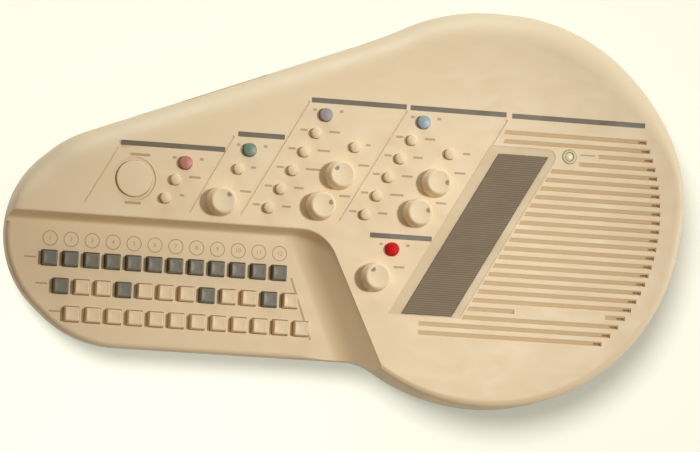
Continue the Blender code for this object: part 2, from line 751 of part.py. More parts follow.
def socket_barrel(radius, in_low, in_high, offset):
    """A round rod that lies across the rear wall at a socket."""
    point, along, normal = rear_frame()
    inward = Vector((-normal.x, -normal.y, 0.0))
    start = Vector((*(point + along * offset), SOCKET_Z))
    middle = start + inward * (in_low + in_high) / 2
    bm = bmesh.new()
    bmesh.ops.create_cone(
        bm, cap_ends=True, segments=SOCKET_STEPS, radius1=radius, radius2=radius,
        depth=in_high - in_low,
        matrix=Matrix.LocRotScale(middle, inward.to_track_quat("Z", "Y"), None),
    )
    return mesh_of(bm, "barrel")


def socket_land():
    """What is cut away to leave a flat face round the sockets."""
    half = SOCKET_LAND_LENGTH / 2
    return rear_box(
        -half, half, -20.0 * MM, SOCKET_LAND_INSET, SOCKET_LAND_LOW, SOCKET_LAND_HIGH, "land"
    )


def socket_holes():
    """One hole through the land for each socket."""
    low = SOCKET_LAND_INSET - WALL
    high = SOCKET_LAND_INSET + SOCKET_BACKING + WALL
    return merged_mesh("socket_holes", [
        socket_barrel(SOCKET_HOLE_RADIUS, low, high, offset) for offset in socket_offsets()
    ])


def socket_front():
    """How far in the socket bodies start, clear of the rounded inner face above them."""
    radius = REAR_EDGE_RADIUS - WALL
    drop = DECK_Z - WALL - CONTROL_BOARD_Z
    sine = 1.0 - drop / radius
    facet = radius * (1.0 - math.cos(math.pi / 4 / EDGE_STEPS))
    rounded = radius * (1.0 - math.sqrt(1.0 - sine * sine)) + facet
    lean = DRAFT * (DECK_Z - WALL - radius - JOINT_Z)
    return max(WALL + lean + rounded, SOCKET_LAND_INSET + SOCKET_BACKING) + GAP


def key_mesh(name):
    """A chord key: the cap is drawn up out of its flange, tapered, and bevelled on top."""
    flange_top = CHORD_DECK_Z - WALL - GAP
    top = CHORD_DECK_Z + KEY_RISE
    half_x = KEY_LENGTH / 2 + KEY_FLANGE
    half_y = KEY_DEPTH / 2 + KEY_FLANGE
    bm = bmesh.new()
    size = Vector((2.0 * half_x, 2.0 * half_y, KEY_FLANGE_THICKNESS))
    middle = Vector((0.0, 0.0, flange_top - top - KEY_FLANGE_THICKNESS / 2))
    bmesh.ops.create_cube(bm, size=1.0, matrix=Matrix.LocRotScale(middle, None, size))
    upright = [e for e in bm.edges if abs(e.verts[0].co.z - e.verts[1].co.z) > GAP]
    bmesh.ops.bevel(bm, geom=upright, offset=KEY_CORNER, segments=1, affect="EDGES")

    face = max(bm.faces, key=lambda f: f.calc_center_median().z)
    bmesh.ops.inset_region(bm, faces=[face], thickness=KEY_FLANGE, use_even_offset=True)
    cap = bmesh.ops.extrude_discrete_faces(bm, faces=[face])["faces"][0]
    shrink = Vector((1.0 - 2.0 * KEY_TAPER / KEY_LENGTH, 1.0 - 2.0 * KEY_TAPER / KEY_DEPTH, 1.0))
    bmesh.ops.scale(bm, verts=cap.verts, vec=shrink)
    bmesh.ops.translate(bm, verts=cap.verts, vec=(0.0, 0.0, top - flange_top))
    bmesh.ops.bevel(bm, geom=cap.edges, offset=KEY_BEVEL, segments=1, affect="EDGES")
    return mesh_of(bm, name)


def build_keys():
    """Chord keys, held under the lower deck by their flanges."""
    top = CHORD_DECK_Z + KEY_RISE
    for row, column, (x, y) in key_places():
        name = "chord_key_{}_{:02d}".format(row + 1, column + 1)
        dark = row == 0 or (row == 1 and column in DARK_KEYS_IN_SECOND_ROW)
        add_part(name, key_mesh(name), "dark_key" if dark else "cream", (x, y, top))


def button_profile(radius, rise):
    """Profile of a push button, from its slightly domed top down to its flange."""
    flange_top = -rise - WALL - GAP
    return [
        (0.0, 0.0),
        (radius - BUTTON_BEVEL, -BUTTON_DOME),
        (radius, -BUTTON_BEVEL),
        (radius, flange_top),
        (radius + BUTTON_FLANGE, flange_top),
        (radius + BUTTON_FLANGE, flange_top - BUTTON_FLANGE_THICKNESS),
        (0.0, flange_top - BUTTON_FLANGE_THICKNESS),
    ]


def add_button(name, place, radius, rise, steps, finish):
    """A push button whose origin is at the middle of its top."""
    mesh = turned_mesh(name, button_profile(radius, rise), steps)
    add_part(name, mesh, finish, (*place, DECK_Z + rise))


def build_buttons():
    """The five coloured caps, the five small buttons and the large pad."""
    for name, place in CAP_PLACES.items():
        add_button(name, place, CAP_RADIUS, CAP_RISE, BUTTON_STEPS, name.split("_")[0])
    for name, place in SMALL_BUTTON_PLACES.items():
        add_button(name, place, SMALL_RADIUS, SMALL_RISE, BUTTON_STEPS, "cream")
    add_button("start_pad", PAD_PLACE, PAD_RADIUS, PAD_RISE, PAD_STEPS, "cream")


def build_knobs():
    """Knobs: a slightly tapered cap on a shaft that ends just above its potentiometer."""
    base = DECK_Z + GAP
    shaft_end = CONTROL_BOARD_Z + POT_HEIGHT + GAP - base
    profile = [
        (0.0, KNOB_HEIGHT - KNOB_DISH),
        (KNOB_TOP_RADIUS - 3.0 * KNOB_BEVEL, KNOB_HEIGHT - KNOB_DISH),
        (KNOB_TOP_RADIUS - KNOB_BEVEL, KNOB_HEIGHT),
        (KNOB_TOP_RADIUS, KNOB_HEIGHT - KNOB_BEVEL),
        (KNOB_RADIUS, 0.0),
        (SHAFT_RADIUS, 0.0),
        (SHAFT_RADIUS, shaft_end),
        (0.0, shaft_end),
    ]
    for name, place in KNOB_PLACES.items():
        add_part(name, turned_mesh(name, profile, KNOB_STEPS), "cream", (*place, base))


def build_strum_plate():
    """Strum plate, inlaid in its seat and standing slightly proud of the deck."""
    low = DECK_Z - STRUM_RECESS + GAP
    mesh = slab_mesh("strum_plate", strum_outline(0.0), low, DECK_Z + STRUM_PROUD)
    plate = add_part("strum_plate", mesh, "strum")
    bevel = plate.modifiers.new("edge", "BEVEL")
    bevel.width = STRUM_EDGE
    bevel.segments = 1


def build_speaker():
    """Loudspeaker: rim, basket, magnet and the hollow of the cone."""
    neck = -SPEAKER_BASKET_DEPTH
    profile = [
        (0.0, SPEAKER_DUST_CAP - CONE_DEPTH),
        (CONE_THROAT_RADIUS, -CONE_DEPTH),
        (SPEAKER_BASKET_RADIUS - SPEAKER_RIM, -SPEAKER_ROLL),
        (SPEAKER_BASKET_RADIUS, 0.0),
        (SPEAKER_RADIUS, 0.0),
        (SPEAKER_RADIUS, -SPEAKER_RIM_THICKNESS),
        (SPEAKER_BASKET_RADIUS, -SPEAKER_RIM_THICKNESS),
        (SPEAKER_NECK_RADIUS, neck),
        (MAGNET_RADIUS, neck),
        (MAGNET_RADIUS, neck - MAGNET_THICKNESS),
        (0.0, neck - MAGNET_THICKNESS),
    ]
    mesh = turned_mesh("speaker", profile, SPEAKER_STEPS)
    add_part("speaker", mesh, "speaker", (*SPEAKER_PLACE, DECK_Z - WALL - GAP))


def control_board_outline():
    """Plan of the control board, between the ridge, the strum plate and the rear edge."""
    def ridge_side(y):
        return RIDGE_CORNER_X + BOARD_FROM_RIDGE + math.tan(RIDGE_LEAN) * (RIDGE_Y - y)

    def strum_side(y):
        return STRUM_CORNER[0] - BOARD_FROM_STRUM + math.tan(STRUM_LEAN) * (y - STRUM_CORNER[1])

    point, along, normal = rear_frame()
    base = point - normal * BOARD_FROM_REAR

    def rear_point(x):
        return tuple(base + along * ((x - base.x) / along.x))

    left = PAD_PLACE[0] - BOARD_PAST_PAD
    ridge_y = RIDGE_Y + BOARD_FROM_RIDGE
    front = KNOB_PLACES["master_volume_knob"][1] - BOARD_PAST_KNOB
    cap_y = CAP_PLACES["blue_push_cap"][1]
    rear = cap_y + BOARD_PAST_CAP
    lilac_x = CAP_PLACES["lilac_push_cap"][0] - BOARD_PAST_CAP
    return [
        (left, ridge_y), (ridge_side(ridge_y), ridge_y), (ridge_side(front), front),
        (strum_side(front), front), (strum_side(cap_y), cap_y), (strum_side(cap_y), rear),
        (lilac_x, rear), rear_point(lilac_x), rear_point(left),
    ]


def build_control_board():
    """Control board with its potentiometers, switches, selector buttons, lamp and sockets."""
    low = CONTROL_BOARD_Z - BOARD_THICKNESS
    inside = CONTROL_BOARD_Z - BOARD_THICKNESS / 2
    plate = slab_mesh("control_board", control_board_outline(), low, CONTROL_BOARD_Z)
    board = add_part("control_board", plate, "board")
    raised = []
    pot_top = CONTROL_BOARD_Z + POT_HEIGHT
    for place in KNOB_PLACES.values():
        raised.append(rod_mesh("pot", place, POT_RADIUS, inside, pot_top, BUTTON_STEPS))
    pressed = BUTTON_FLANGE_THICKNESS + BUTTON_TRAVEL + CLEAR_OF_BOARD
    switch_top = DECK_Z - WALL - GAP - pressed
    half = SWITCH_SIDE / 2
    pushed = list(CAP_PLACES.values()) + list(SMALL_BUTTON_PLACES.values()) + [PAD_PLACE]
    for x, y in pushed:
        raised.append(
            box_mesh("switch", (x - half, y - half, inside), (x + half, y + half, switch_top))
        )
    selector_top = DECK_Z + SMALL_RISE
    profile = [
        (0.0, selector_top),
        (SMALL_RADIUS - BUTTON_BEVEL, selector_top - BUTTON_DOME),
        (SMALL_RADIUS, selector_top - BUTTON_BEVEL),
        (SMALL_RADIUS, inside),
        (0.0, inside),
    ]
    for x, y in selector_places():
        selector = turned_mesh("selector", profile, BUTTON_STEPS)
        selector.transform(Matrix.Translation((x, y, 0.0)))
        raised.append(selector)
    use_tool(board, add_cutter("raised", merged_mesh("raised", raised)), "UNION")

    front = socket_front()
    width, depth, height = SOCKET_BODY
    blocks = [
        rear_box(
            offset - width / 2, offset + width / 2, front, front + depth,
            SOCKET_Z - height / 2, inside, "socket_body",
        )
        for offset in socket_offsets()
    ]
    use_tool(board, add_cutter("bodies", merged_mesh("bodies", blocks)), "UNION")
    bushes = [
        socket_barrel(SOCKET_HOLE_RADIUS - GAP, SOCKET_LAND_INSET, front + WALL, offset)
        for offset in socket_offsets()
    ]
    use_tool(board, add_cutter("bushes", merged_mesh("bushes", bushes)), "UNION")
    bores = [
        socket_barrel(SOCKET_BORE_RADIUS, SOCKET_LAND_INSET - WALL, front + depth - WALL, offset)
        for offset in socket_offsets()
    ]
    use_tool(board, add_cutter("bores", merged_mesh("bores", bores)), "DIFFERENCE")


def build_chord_board():
    """Key board under the chord keys, cut off at the rounded end of the casing."""
    low = CHORD_BOARD_Z - BOARD_THICKNESS
    left = FIRST_KEY[0] - CHORD_BOARD_MARGIN
    right = FIRST_KEY[0] + (KEY_COLUMNS - 1) * KEY_PITCH_X + (KEY_ROWS - 1) * KEY_ROW_SHIFT
    right += CHORD_BOARD_MARGIN
    rear = FIRST_KEY[1] + CHORD_BOARD_MARGIN
    front = FIRST_KEY[1] - (KEY_ROWS - 1) * KEY_PITCH_Y - CHORD_BOARD_MARGIN
    outline = [
        (left + CHORD_BOARD_CUT, front), (right, front), (right, rear),
        (left, rear), (left, rear - KEY_PITCH_Y),
    ]
    add_part("chord_board", slab_mesh("chord_board", outline, low, CHORD_BOARD_Z), "board")


def hull_inset(inset):
    """An inset that is the same all round."""
    return lambda normal: inset


def build_bottom_shell():
    """Lower casing: a tapering hull with a locating lip, feet, posts and the battery bay."""
    rim = JOINT_Z - GAP / 2
    outer = [(FOOT_HEIGHT + rise, inset) for rise, inset in HULL]
    outer.append((rim, 0.0))
    lip_outside = WALL + GAP
    lip_inside = lip_outside + TONGUE_THICKNESS
    lip = [
        (rim, lip_outside),
        (rim + TONGUE_RISE, lip_outside),
        (rim + TONGUE_RISE, lip_inside),
    ]
    inner = [
        (FOOT_HEIGHT + rise + WALL, inset + lip_inside * (1.0 - rise / HULL[-1][0]) + WALL)
        for rise, inset in reversed(HULL[:-1])
    ]
    rings = [
        outline_ring(hull_inset(inset), lambda n, z=z: z) for z, inset in outer + lip + inner
    ]
    shell = add_part("bottom_shell", loft_mesh("bottom_shell", rings), "cream_low")

    floor = FOOT_HEIGHT + WALL / 2
    added = [
        rod_mesh("foot", p, FOOT_RADIUS - FOOT_TAPER, 0.0, floor, FOOT_STEPS, FOOT_RADIUS)
        for p in FOOT_PLACES
    ]
    board_low = CHORD_BOARD_Z - BOARD_THICKNESS
    added += [
        rod_mesh("post", p, POST_RADIUS, floor, board_low - GAP, POST_STEPS)
        for p in CHORD_POSTS
    ]
    use_tool(shell, add_cutter("added", merged_mesh("added", added)), "UNION")

    bay_top = FOOT_HEIGHT + BAY_HEIGHT
    ledge = BAY_WALL + HINGE_TAB_LENGTH + DOOR_LAP
    seat_top = FOOT_HEIGHT + DOOR_THICKNESS + GAP
    steps = (
        ("bay_ledge", ledge, floor, FOOT_HEIGHT + BAY_LEDGE_RISE, "UNION"),
        ("bay_walls", BAY_WALL, floor, bay_top + BAY_WALL, "UNION"),
        ("bay_hollow", 0.0, BELOW, bay_top, "DIFFERENCE"),
        ("door_seat", DOOR_LAP + GAP, BELOW, seat_top, "DIFFERENCE"),
    )
    for name, margin, low, high, operation in steps:
        use_tool(shell, add_cutter(name, bay_box(name, margin, low, high)), operation)
    use_tool(shell, add_cutter("hinge_rooms", merged_mesh("hinge_rooms", hinge_rooms())), "DIFFERENCE")
    sink_top = FOOT_HEIGHT + SCREW_HOLE_DEPTH
    sinks = [
        rod_mesh("sink", p, SCREW_HOLE_RADIUS, BELOW, sink_top, BUTTON_STEPS)
        for p in SCREW_PLACES
    ]
    use_tool(shell, add_cutter("screw_sinks", merged_mesh("screw_sinks", sinks)), "DIFFERENCE")


def bay_box(name, margin, low, high):
    """A box round the battery bay, larger than the bay by margin on each side."""
    x, y = BAY_CORNER
    return box_mesh(
        name, (x - margin, y - margin, low),
        (x + BAY_LENGTH + margin, y + BAY_WIDTH + margin, high),
    )


def hinge_place():
    """Middle of the line that the battery door turns about, along its lower front edge."""
    return (BAY_CORNER[0] + BAY_LENGTH / 2, BAY_CORNER[1] - DOOR_LAP, FOOT_HEIGHT)


def hinge_rooms():
    """Pockets in the foot of the bay wall where the door's hinge tabs sit and turn."""
    x, y, z = hinge_place()
    half = HINGE_TAB_WIDTH / 2 + GAP
    reach = HINGE_TAB_LENGTH + HINGE_TAB_ROOM
    low = z + DOOR_THICKNESS - HINGE_TAB_THICKNESS - GAP
    high = z + DOOR_THICKNESS + reach
    return [
        box_mesh("room", (x + side - half, y - reach, low), (x + side + half, y + DOOR_LAP + GAP, high))
        for side in HINGE_TAB_OFFSETS
    ]


def build_battery_door():
    """Battery door: a flush plate with two hinge tabs in front and a latch at the rear."""
    x, y, z = hinge_place()
    top = z + DOOR_THICKNESS
    plate = bay_box("battery_door", DOOR_LAP, z, top)
    plate.transform(Matrix.Translation((-x, -y, -z)))
    door = add_part("battery_door", plate, "cream_low", (x, y, z))
    half = HINGE_TAB_WIDTH / 2
    tools = [
        box_mesh(
            "tab", (x + side - half, y - HINGE_TAB_LENGTH, top - HINGE_TAB_THICKNESS),
            (x + side + half, y + DOOR_LAP / 2, top),
        )
        for side in HINGE_TAB_OFFSETS
    ]
    rear = BAY_CORNER[1] + BAY_WIDTH - LATCH_FROM_WALL
    tools.append(box_mesh(
        "latch", (x - LATCH_WIDTH / 2, rear - LATCH_THICKNESS, z + DOOR_THICKNESS / 2),
        (x + LATCH_WIDTH / 2, rear, top + LATCH_RISE),
    ))
    use_tool(door, add_cutter("door_tools", merged_mesh("door_tools", tools)), "UNION")


def centre_pieces():
    """Move every piece and tool, so that the origin is under the middle of the outline."""
    for item in (*PARTS.objects, *CUTTERS.objects):
        item.location.x -= PLAN_MIDDLE_X


build_top_shell()
build_bottom_shell()
build_battery_door()
build_strum_plate()
build_speaker()
build_control_board()
build_chord_board()
build_knobs()
build_buttons()
build_keys()
centre_pieces()
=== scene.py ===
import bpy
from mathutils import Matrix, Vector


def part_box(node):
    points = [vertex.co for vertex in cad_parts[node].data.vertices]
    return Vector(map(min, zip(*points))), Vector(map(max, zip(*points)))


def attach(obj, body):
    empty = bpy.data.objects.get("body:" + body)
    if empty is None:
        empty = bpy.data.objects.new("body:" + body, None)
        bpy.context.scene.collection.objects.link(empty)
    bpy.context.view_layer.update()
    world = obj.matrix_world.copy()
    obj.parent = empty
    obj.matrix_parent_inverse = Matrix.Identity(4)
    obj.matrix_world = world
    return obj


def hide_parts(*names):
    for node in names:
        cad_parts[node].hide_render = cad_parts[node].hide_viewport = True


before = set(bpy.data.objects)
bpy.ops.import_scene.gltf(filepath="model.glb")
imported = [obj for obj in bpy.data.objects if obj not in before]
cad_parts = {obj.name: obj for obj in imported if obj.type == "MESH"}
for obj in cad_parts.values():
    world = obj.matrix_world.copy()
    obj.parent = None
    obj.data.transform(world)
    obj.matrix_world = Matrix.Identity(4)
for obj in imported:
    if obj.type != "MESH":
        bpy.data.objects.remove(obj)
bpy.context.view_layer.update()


# %% [markdown]
# A few heights rule everything else: the table, the joint between the two casings, the low
# deck with the chord keys and the high deck. They are read from the construction too.
# %% Read the main heights from it
import math

import bmesh
import bpy
from mathutils import Matrix, Vector

MM = 0.001
shell_low, shell_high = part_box("top_shell")
# The fine gap between two pieces, the casing's wall, how far a cutter reaches past the face
# that it cuts, and the radius that a turned shape keeps at its axis.
GAP = 0.3 * MM
WALL = 2.5 * MM
PAST = 1.0 * MM
NARROWEST = 0.01 * MM
DECK = shell_high.z
JOINT = shell_low.z
HULL_BOTTOM = 4.0 * MM
KEY_RISE = 6.0 * MM
CHORD_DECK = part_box("chord_key_1_01")[1].z - KEY_RISE
print("deck", DECK, "chord deck", CHORD_DECK, "joint", JOINT)


# %% [markdown]
# A photograph of a small instrument that shows almost no perspective was taken from far
# away with a long lens. So the camera stands nearly four metres off, above the table and a
# little to the front left, and is rolled by a few degrees, as a hand-held camera is. A small
# helper makes an object and puts it into the scene, and every later step uses it too.
# %% Place the camera
def new_object(name, data):
    """Make an object and put it into the scene."""
    item = bpy.data.objects.new(name, data)
    bpy.context.scene.collection.objects.link(item)
    return item


CAMERA_TARGET = Vector((10.5, -17.8, 0.0)) * MM
CAMERA_DISTANCE = 3.8
CAMERA_SIDE = Vector((-0.22, -0.10, 0.97)).normalized()
CAMERA_ROLL = math.radians(-4.0)
PIXELS_PER_METRE = 1180.0
FRAME_WIDTH = 700
SENSOR_WIDTH = 36.0
MID_HEIGHT = 60.0 * MM


def place_camera():
    """Aim a long lens at the middle of the instrument, with a slight roll."""
    camera = bpy.data.cameras.new("camera")
    camera.sensor_width = SENSOR_WIDTH
    camera.lens = PIXELS_PER_METRE * (CAMERA_DISTANCE - MID_HEIGHT) / FRAME_WIDTH * SENSOR_WIDTH
    camera.clip_end = 50.0
    holder = new_object("camera", camera)
    across = Vector((1.0, 0.0, 0.0)) - CAMERA_SIDE * CAMERA_SIDE.x
    across.normalize()
    upright = CAMERA_SIDE.cross(across)
    right = across * math.cos(CAMERA_ROLL) - upright * math.sin(CAMERA_ROLL)
    up = across * math.sin(CAMERA_ROLL) + upright * math.cos(CAMERA_ROLL)
    turn = Matrix((right, up, CAMERA_SIDE)).transposed().to_4x4()
    holder.matrix_world = Matrix.Translation(CAMERA_TARGET + CAMERA_SIDE * CAMERA_DISTANCE) @ turn
    bpy.context.scene.camera = holder
    return camera


print("lens", place_camera().lens, "mm")


# %% [markdown]
# Node trees are long when each node is written out, so one helper adds a node, sets its
# options and fills its sockets, from a value or from another node's output. Three more make
# the kinds that are used most: a sum, a noise and a mix of two colours.
# %% Helpers that add shader nodes
def add_node(tree, kind, inputs=None, **options):
    """Add a node; inputs maps a socket's name or number to a value or to an output."""
    node = tree.nodes.new(kind)
    for key, value in options.items():
        setattr(node, key, value)
    for key, value in (inputs or {}).items():
        if isinstance(value, bpy.types.NodeSocket):
            tree.links.new(value, node.inputs[key])
        else:
            node.inputs[key].default_value = value
    return node


def maths(tree, operation, first, second):
    """Result of a sum; each side is a number or another node's output."""
    return add_node(tree, "ShaderNodeMath", {0: first, 1: second}, operation=operation).outputs[0]


def noise(tree, scale, detail, place=None, **sockets):
    """A noise over the object's own coordinates, or over a place that is given."""
    place = place or add_node(tree, "ShaderNodeTexCoord").outputs["Object"]
    inputs = {"Vector": place, "Scale": scale, "Detail": detail, **sockets}
    return add_node(tree, "ShaderNodeTexNoise", inputs).outputs["Fac"]


def mixed(tree, share, first, second):
    """A colour between two others."""
    sockets = {0: share, 6: first, 7: second}
    return add_node(tree, "ShaderNodeMix", sockets, data_type="RGBA").outputs[2]


def new_group(name, inputs, outputs):
    """Make a shader node group with named inputs and outputs, and return its two ends."""
    group = bpy.data.node_groups.new(name, "ShaderNodeTree")
    for socket_name, kind, value in inputs:
        socket = group.interface.new_socket(socket_name, in_out="INPUT", socket_type=kind)
        socket.default_value = value
    for socket_name, kind in outputs:
        group.interface.new_socket(socket_name, in_out="OUTPUT", socket_type=kind)
    return group, group.nodes.new("NodeGroupInput"), group.nodes.new("NodeGroupOutput")


COLOUR = "NodeSocketColor"
NUMBER = "NodeSocketFloat"


# %% [markdown]
# Moulded plastic is never one flat colour. Sheets of pigment drift a little as the mould
# fills, and years of light yellow it unevenly. The first group mixes a colour towards a
# second one by a slow noise, and a finer noise adds faint specks.
# %% The colour drift group
SPECKS_PER_METRE = 900.0
SPECK_BROWN = (0.10, 0.08, 0.05, 1.0)


def make_drift_group():
    """Colour that wanders slowly to a second colour, with faint specks."""
    group, start, end = new_group(
        "Colour drift",
        [("Colour", COLOUR, (0.8, 0.8, 0.8, 1.0)), ("Aged", COLOUR, (0.7, 0.6, 0.4, 1.0)),
         ("Amount", NUMBER, 0.3), ("Size", NUMBER, 0.1), ("Specks", NUMBER, 0.03)],
        [("Colour", COLOUR)],
    )
    slow = noise(group, maths(group, "DIVIDE", 1.0, start.outputs["Size"]), 3.0)
    share = maths(group, "MULTIPLY", slow, start.outputs["Amount"])
    drift = mixed(group, share, start.outputs["Colour"], start.outputs["Aged"])
    speck = add_node(group, "ShaderNodeMapRange", {
        "Value": noise(group, SPECKS_PER_METRE, 2.0), "From Min": 0.55, "From Max": 0.75,
        "To Min": 0.0, "To Max": start.outputs["Specks"],
    })
    dotted = mixed(group, speck.outputs[0], drift, SPECK_BROWN)
    group.links.new(dotted, end.inputs["Colour"])
    return group


DRIFT = make_drift_group()
print("group", DRIFT.name)


# %% [markdown]
# The mould of a casing is etched with a fine grain, which breaks up the shine. A noise makes
# the pits, and a slower noise makes them a little deeper here and there. The group puts out
# a height, and each material feeds it to its own bump.
# %% The moulded grain group
PATCHES_PER_METRE = 60.0


def make_grain_group():
    """Height of an etched grain, with pits of a given size."""
    group, start, end = new_group(
        "Moulded grain",
        [("Size", NUMBER, 0.0006), ("Depth", NUMBER, 1.0)],
        [("Height", NUMBER)],
    )
    pits = noise(group, maths(group, "DIVIDE", 1.0, start.outputs["Size"]), 2.0, Roughness=0.6)
    depth = maths(group, "MULTIPLY", noise(group, PATCHES_PER_METRE, 1.0), start.outputs["Depth"])
    group.links.new(maths(group, "MULTIPLY", pits, depth), end.inputs["Height"])
    return group


GRAIN = make_grain_group()
print("group", GRAIN.name)


# %% [markdown]
# Hands polish what they touch and leave smears on the rest, so the shine of each surface
# varies. The third group turns a stretched noise into a roughness round a middle value.
# %% The handling group
def make_handling_group():
    """Roughness that varies with smears and polished patches."""
    group, start, end = new_group(
        "Handling",
        [("Roughness", NUMBER, 0.5), ("Range", NUMBER, 0.1), ("Size", NUMBER, 0.03)],
        [("Roughness", NUMBER)],
    )
    stretch = add_node(group, "ShaderNodeMapping", {
        "Vector": add_node(group, "ShaderNodeTexCoord").outputs["Object"],
        "Rotation": (0.0, 0.0, 0.6), "Scale": (1.0, 2.2, 1.0),
    })
    scale = maths(group, "DIVIDE", 1.0, start.outputs["Size"])
    smear = noise(group, scale, 4.0, stretch.outputs[0], Distortion=0.6)
    middle, reach = start.outputs["Roughness"], start.outputs["Range"]
    spread = add_node(group, "ShaderNodeMapRange", {
        "Value": smear, "From Min": 0.3, "From Max": 0.7,
        "To Min": maths(group, "SUBTRACT", middle, reach),
        "To Max": maths(group, "ADD", middle, reach),
    })
    group.links.new(spread.outputs[0], end.inputs["Roughness"])
    return group


HANDLING = make_handling_group()
print("group", HANDLING.name)


# %% [markdown]
# Every plastic and metal of the instrument is then the same recipe with other values: a
# Principled shader whose colour, roughness and bump come from the three groups. Values that
# are even all over, such as the metallic one, are set on the shader itself.
# %% The finish recipe
GRAIN_HEIGHT = 0.2 * MM


def srgb(red, green, blue):
    """A colour given in the 0 to 255 steps of a screen, as the linear values of a shader."""
    def linear(step):
        share = step / 255.0
        return share / 12.92 if share <= 0.04045 else ((share + 0.055) / 1.055) ** 2.4
    return (linear(red), linear(green), linear(blue), 1.0)


def finish(name, colour, aged, roughness, drift=0.3, size=0.08, specks=0.02, grain=0.0006,
           bump=0.12, spread=0.08, smear=0.03, metallic=0.0, specular=0.5):
    """A material whose colour drifts, whose grain catches the light and whose shine varies.

    The two colours are given in the steps of a screen.
    """
    material = bpy.data.materials.new(name)
    material.use_nodes = True
    tree = material.node_tree
    shader = tree.nodes["Principled BSDF"]
    paint = add_node(tree, "ShaderNodeGroup", node_tree=DRIFT)
    pits = add_node(tree, "ShaderNodeGroup", node_tree=GRAIN)
    shine = add_node(tree, "ShaderNodeGroup", node_tree=HANDLING)
    for node, values in (
        (paint, {"Colour": srgb(*colour), "Aged": srgb(*aged)}),
        (paint, {"Amount": drift, "Size": size, "Specks": specks}),
        (pits, {"Size": grain}),
        (shine, {"Roughness": roughness, "Range": spread, "Size": smear}),
        (shader, {"Metallic": metallic, "Specular IOR Level": specular}),
    ):
        for key, value in values.items():
            node.inputs[key].default_value = value
    relief = add_node(tree, "ShaderNodeBump", {
        "Strength": bump, "Distance": GRAIN_HEIGHT, "Height": pits.outputs["Height"],
    })
    tree.links.new(paint.outputs["Colour"], shader.inputs["Base Color"])
    tree.links.new(shine.outputs["Roughness"], shader.inputs["Roughness"])
    tree.links.new(relief.outputs["Normal"], shader.inputs["Normal"])
    return material


# %% [markdown]
# The casing, knobs and light keys are one cream plastic. The dark keys, the inlaid bars and
# the strum plate are three olive greys. The five caps are small bright mouldings with a
# smoother skin, and inside are a green board, bare steel and black rubber.
# %% Mix the finishes
CREAM = finish("cream_casing", (231, 213, 178), (222, 198, 158), 0.5, drift=0.5)
CREAM_KEY = finish("cream_key", (230, 208, 173), (220, 194, 156), 0.42, size=0.05)
# The lower casing and the door take the cream darkened as painted shade.
CREAM_SHADED_LOW = finish("cream_painted_shade_underside", (214, 193, 157), (196, 172, 134), 0.55, drift=0.6)
DARK_KEY = finish("dark_key", (110, 105, 92), (92, 87, 76), 0.42, drift=0.6, size=0.01)
BAR_INK = finish("dark_bar", (100, 90, 70), (80, 71, 56), 0.5, drift=0.8, size=0.02)
MARK_INK = finish("grey_ink", (184, 162, 124), (166, 144, 108), 0.5, drift=0.8, size=0.004)
DOT_INK = finish("dot_ink", (146, 130, 102), (130, 114, 88), 0.5, drift=0.8, size=0.004)
# The louvre finish is the cream darkened as painted shade for the channels.
LOUVRE_PAINTED_SHADE = finish("louvre_painted_shade", (222, 198, 158), (205, 179, 139), 0.6, size=0.05)
CLOTH = finish("grille_cloth", (190, 152, 104), (160, 126, 84), 0.9, size=0.01, bump=0.4)
STRUM = finish("strum_plate", (118, 101, 77), (104, 90, 68), 0.5, drift=0.8, size=0.03)
CAPS = {
    "pink": finish("pink_cap", (182, 118, 98), (170, 106, 88), 0.4, bump=0.05),
    "teal": finish("teal_cap", (102, 128, 108), (90, 116, 98), 0.4, bump=0.05),
    "lilac": finish("lilac_cap", (148, 140, 142), (134, 126, 130), 0.4, bump=0.05),
    "blue": finish("blue_cap", (146, 164, 176), (132, 150, 164), 0.4, bump=0.05),
    "red": finish("red_cap", (200, 0, 4), (180, 0, 2), 0.5, bump=0.05, specular=0.15),
}
RUBBER = finish("rubber", (52, 50, 47), (66, 63, 58), 0.8, drift=0.7, size=0.02, bump=0.3)
STEEL = finish("steel", (196, 196, 192), (170, 168, 162), 0.32, metallic=1.0, bump=0.05)
BOARD = finish("circuit_board", (46, 96, 58), (58, 112, 62), 0.35, size=0.01, bump=0.1)
BLACK = finish("black_plastic", (38, 38, 38), (52, 52, 50), 0.45)
PAPER = finish("paper_cone", (58, 56, 52), (78, 74, 68), 0.85, size=0.006, bump=0.5)
print(len(bpy.data.materials), "materials")


# %% [markdown]
# Lists of points become meshes in a few ways only: a stack of rings is skinned, a chain of
# rings is skinned into a tube, an outline is drawn up into a slab, and a profile is turned
# about an axis. Small helpers do each, so that every piece below can be told in terms of its
# own shape.
# %% Helpers that make meshes
def mesh_of(bm, name):
    """Turn a finished bmesh into a mesh."""
    mesh = bpy.data.meshes.new(name)
    bm.to_mesh(mesh)
    bm.free()
    return mesh


def loft(name, rings):
    """Skin a stack of rings, each anticlockwise from above and listed bottom to top."""
    bm = bmesh.new()
    loops = [[bm.verts.new(point) for point in ring] for ring in rings]
    bm.faces.new(reversed(loops[0]))
    for lower, upper in zip(loops, loops[1:]):
        for i in range(len(lower)):
            bm.faces.new((lower[i - 1], lower[i], upper[i], upper[i - 1]))
    bm.faces.new(loops[-1])
    return mesh_of(bm, name)


def tube(name, rings, closed=True):
    """Skin a chain of rings whose end joins its start, or whose two ends are capped."""
    bm = bmesh.new()
    loops = [[bm.verts.new(point) for point in ring] for ring in rings]
    for first, second in zip(loops, loops[1:] + (loops[:1] if closed else [])):
        for i in range(len(first)):
            bm.faces.new((first[i - 1], first[i], second[i], second[i - 1]))
    if not closed:
        bm.faces.new(loops[0])
        bm.faces.new(loops[-1])
    bmesh.ops.recalc_face_normals(bm, faces=bm.faces)
    return mesh_of(bm, name)


def merged(name, meshes):
    """Hold several separate closed meshes in one."""
    bm = bmesh.new()
    for mesh in meshes:
        bm.from_mesh(mesh)
        bpy.data.meshes.remove(mesh)
    return mesh_of(bm, name)


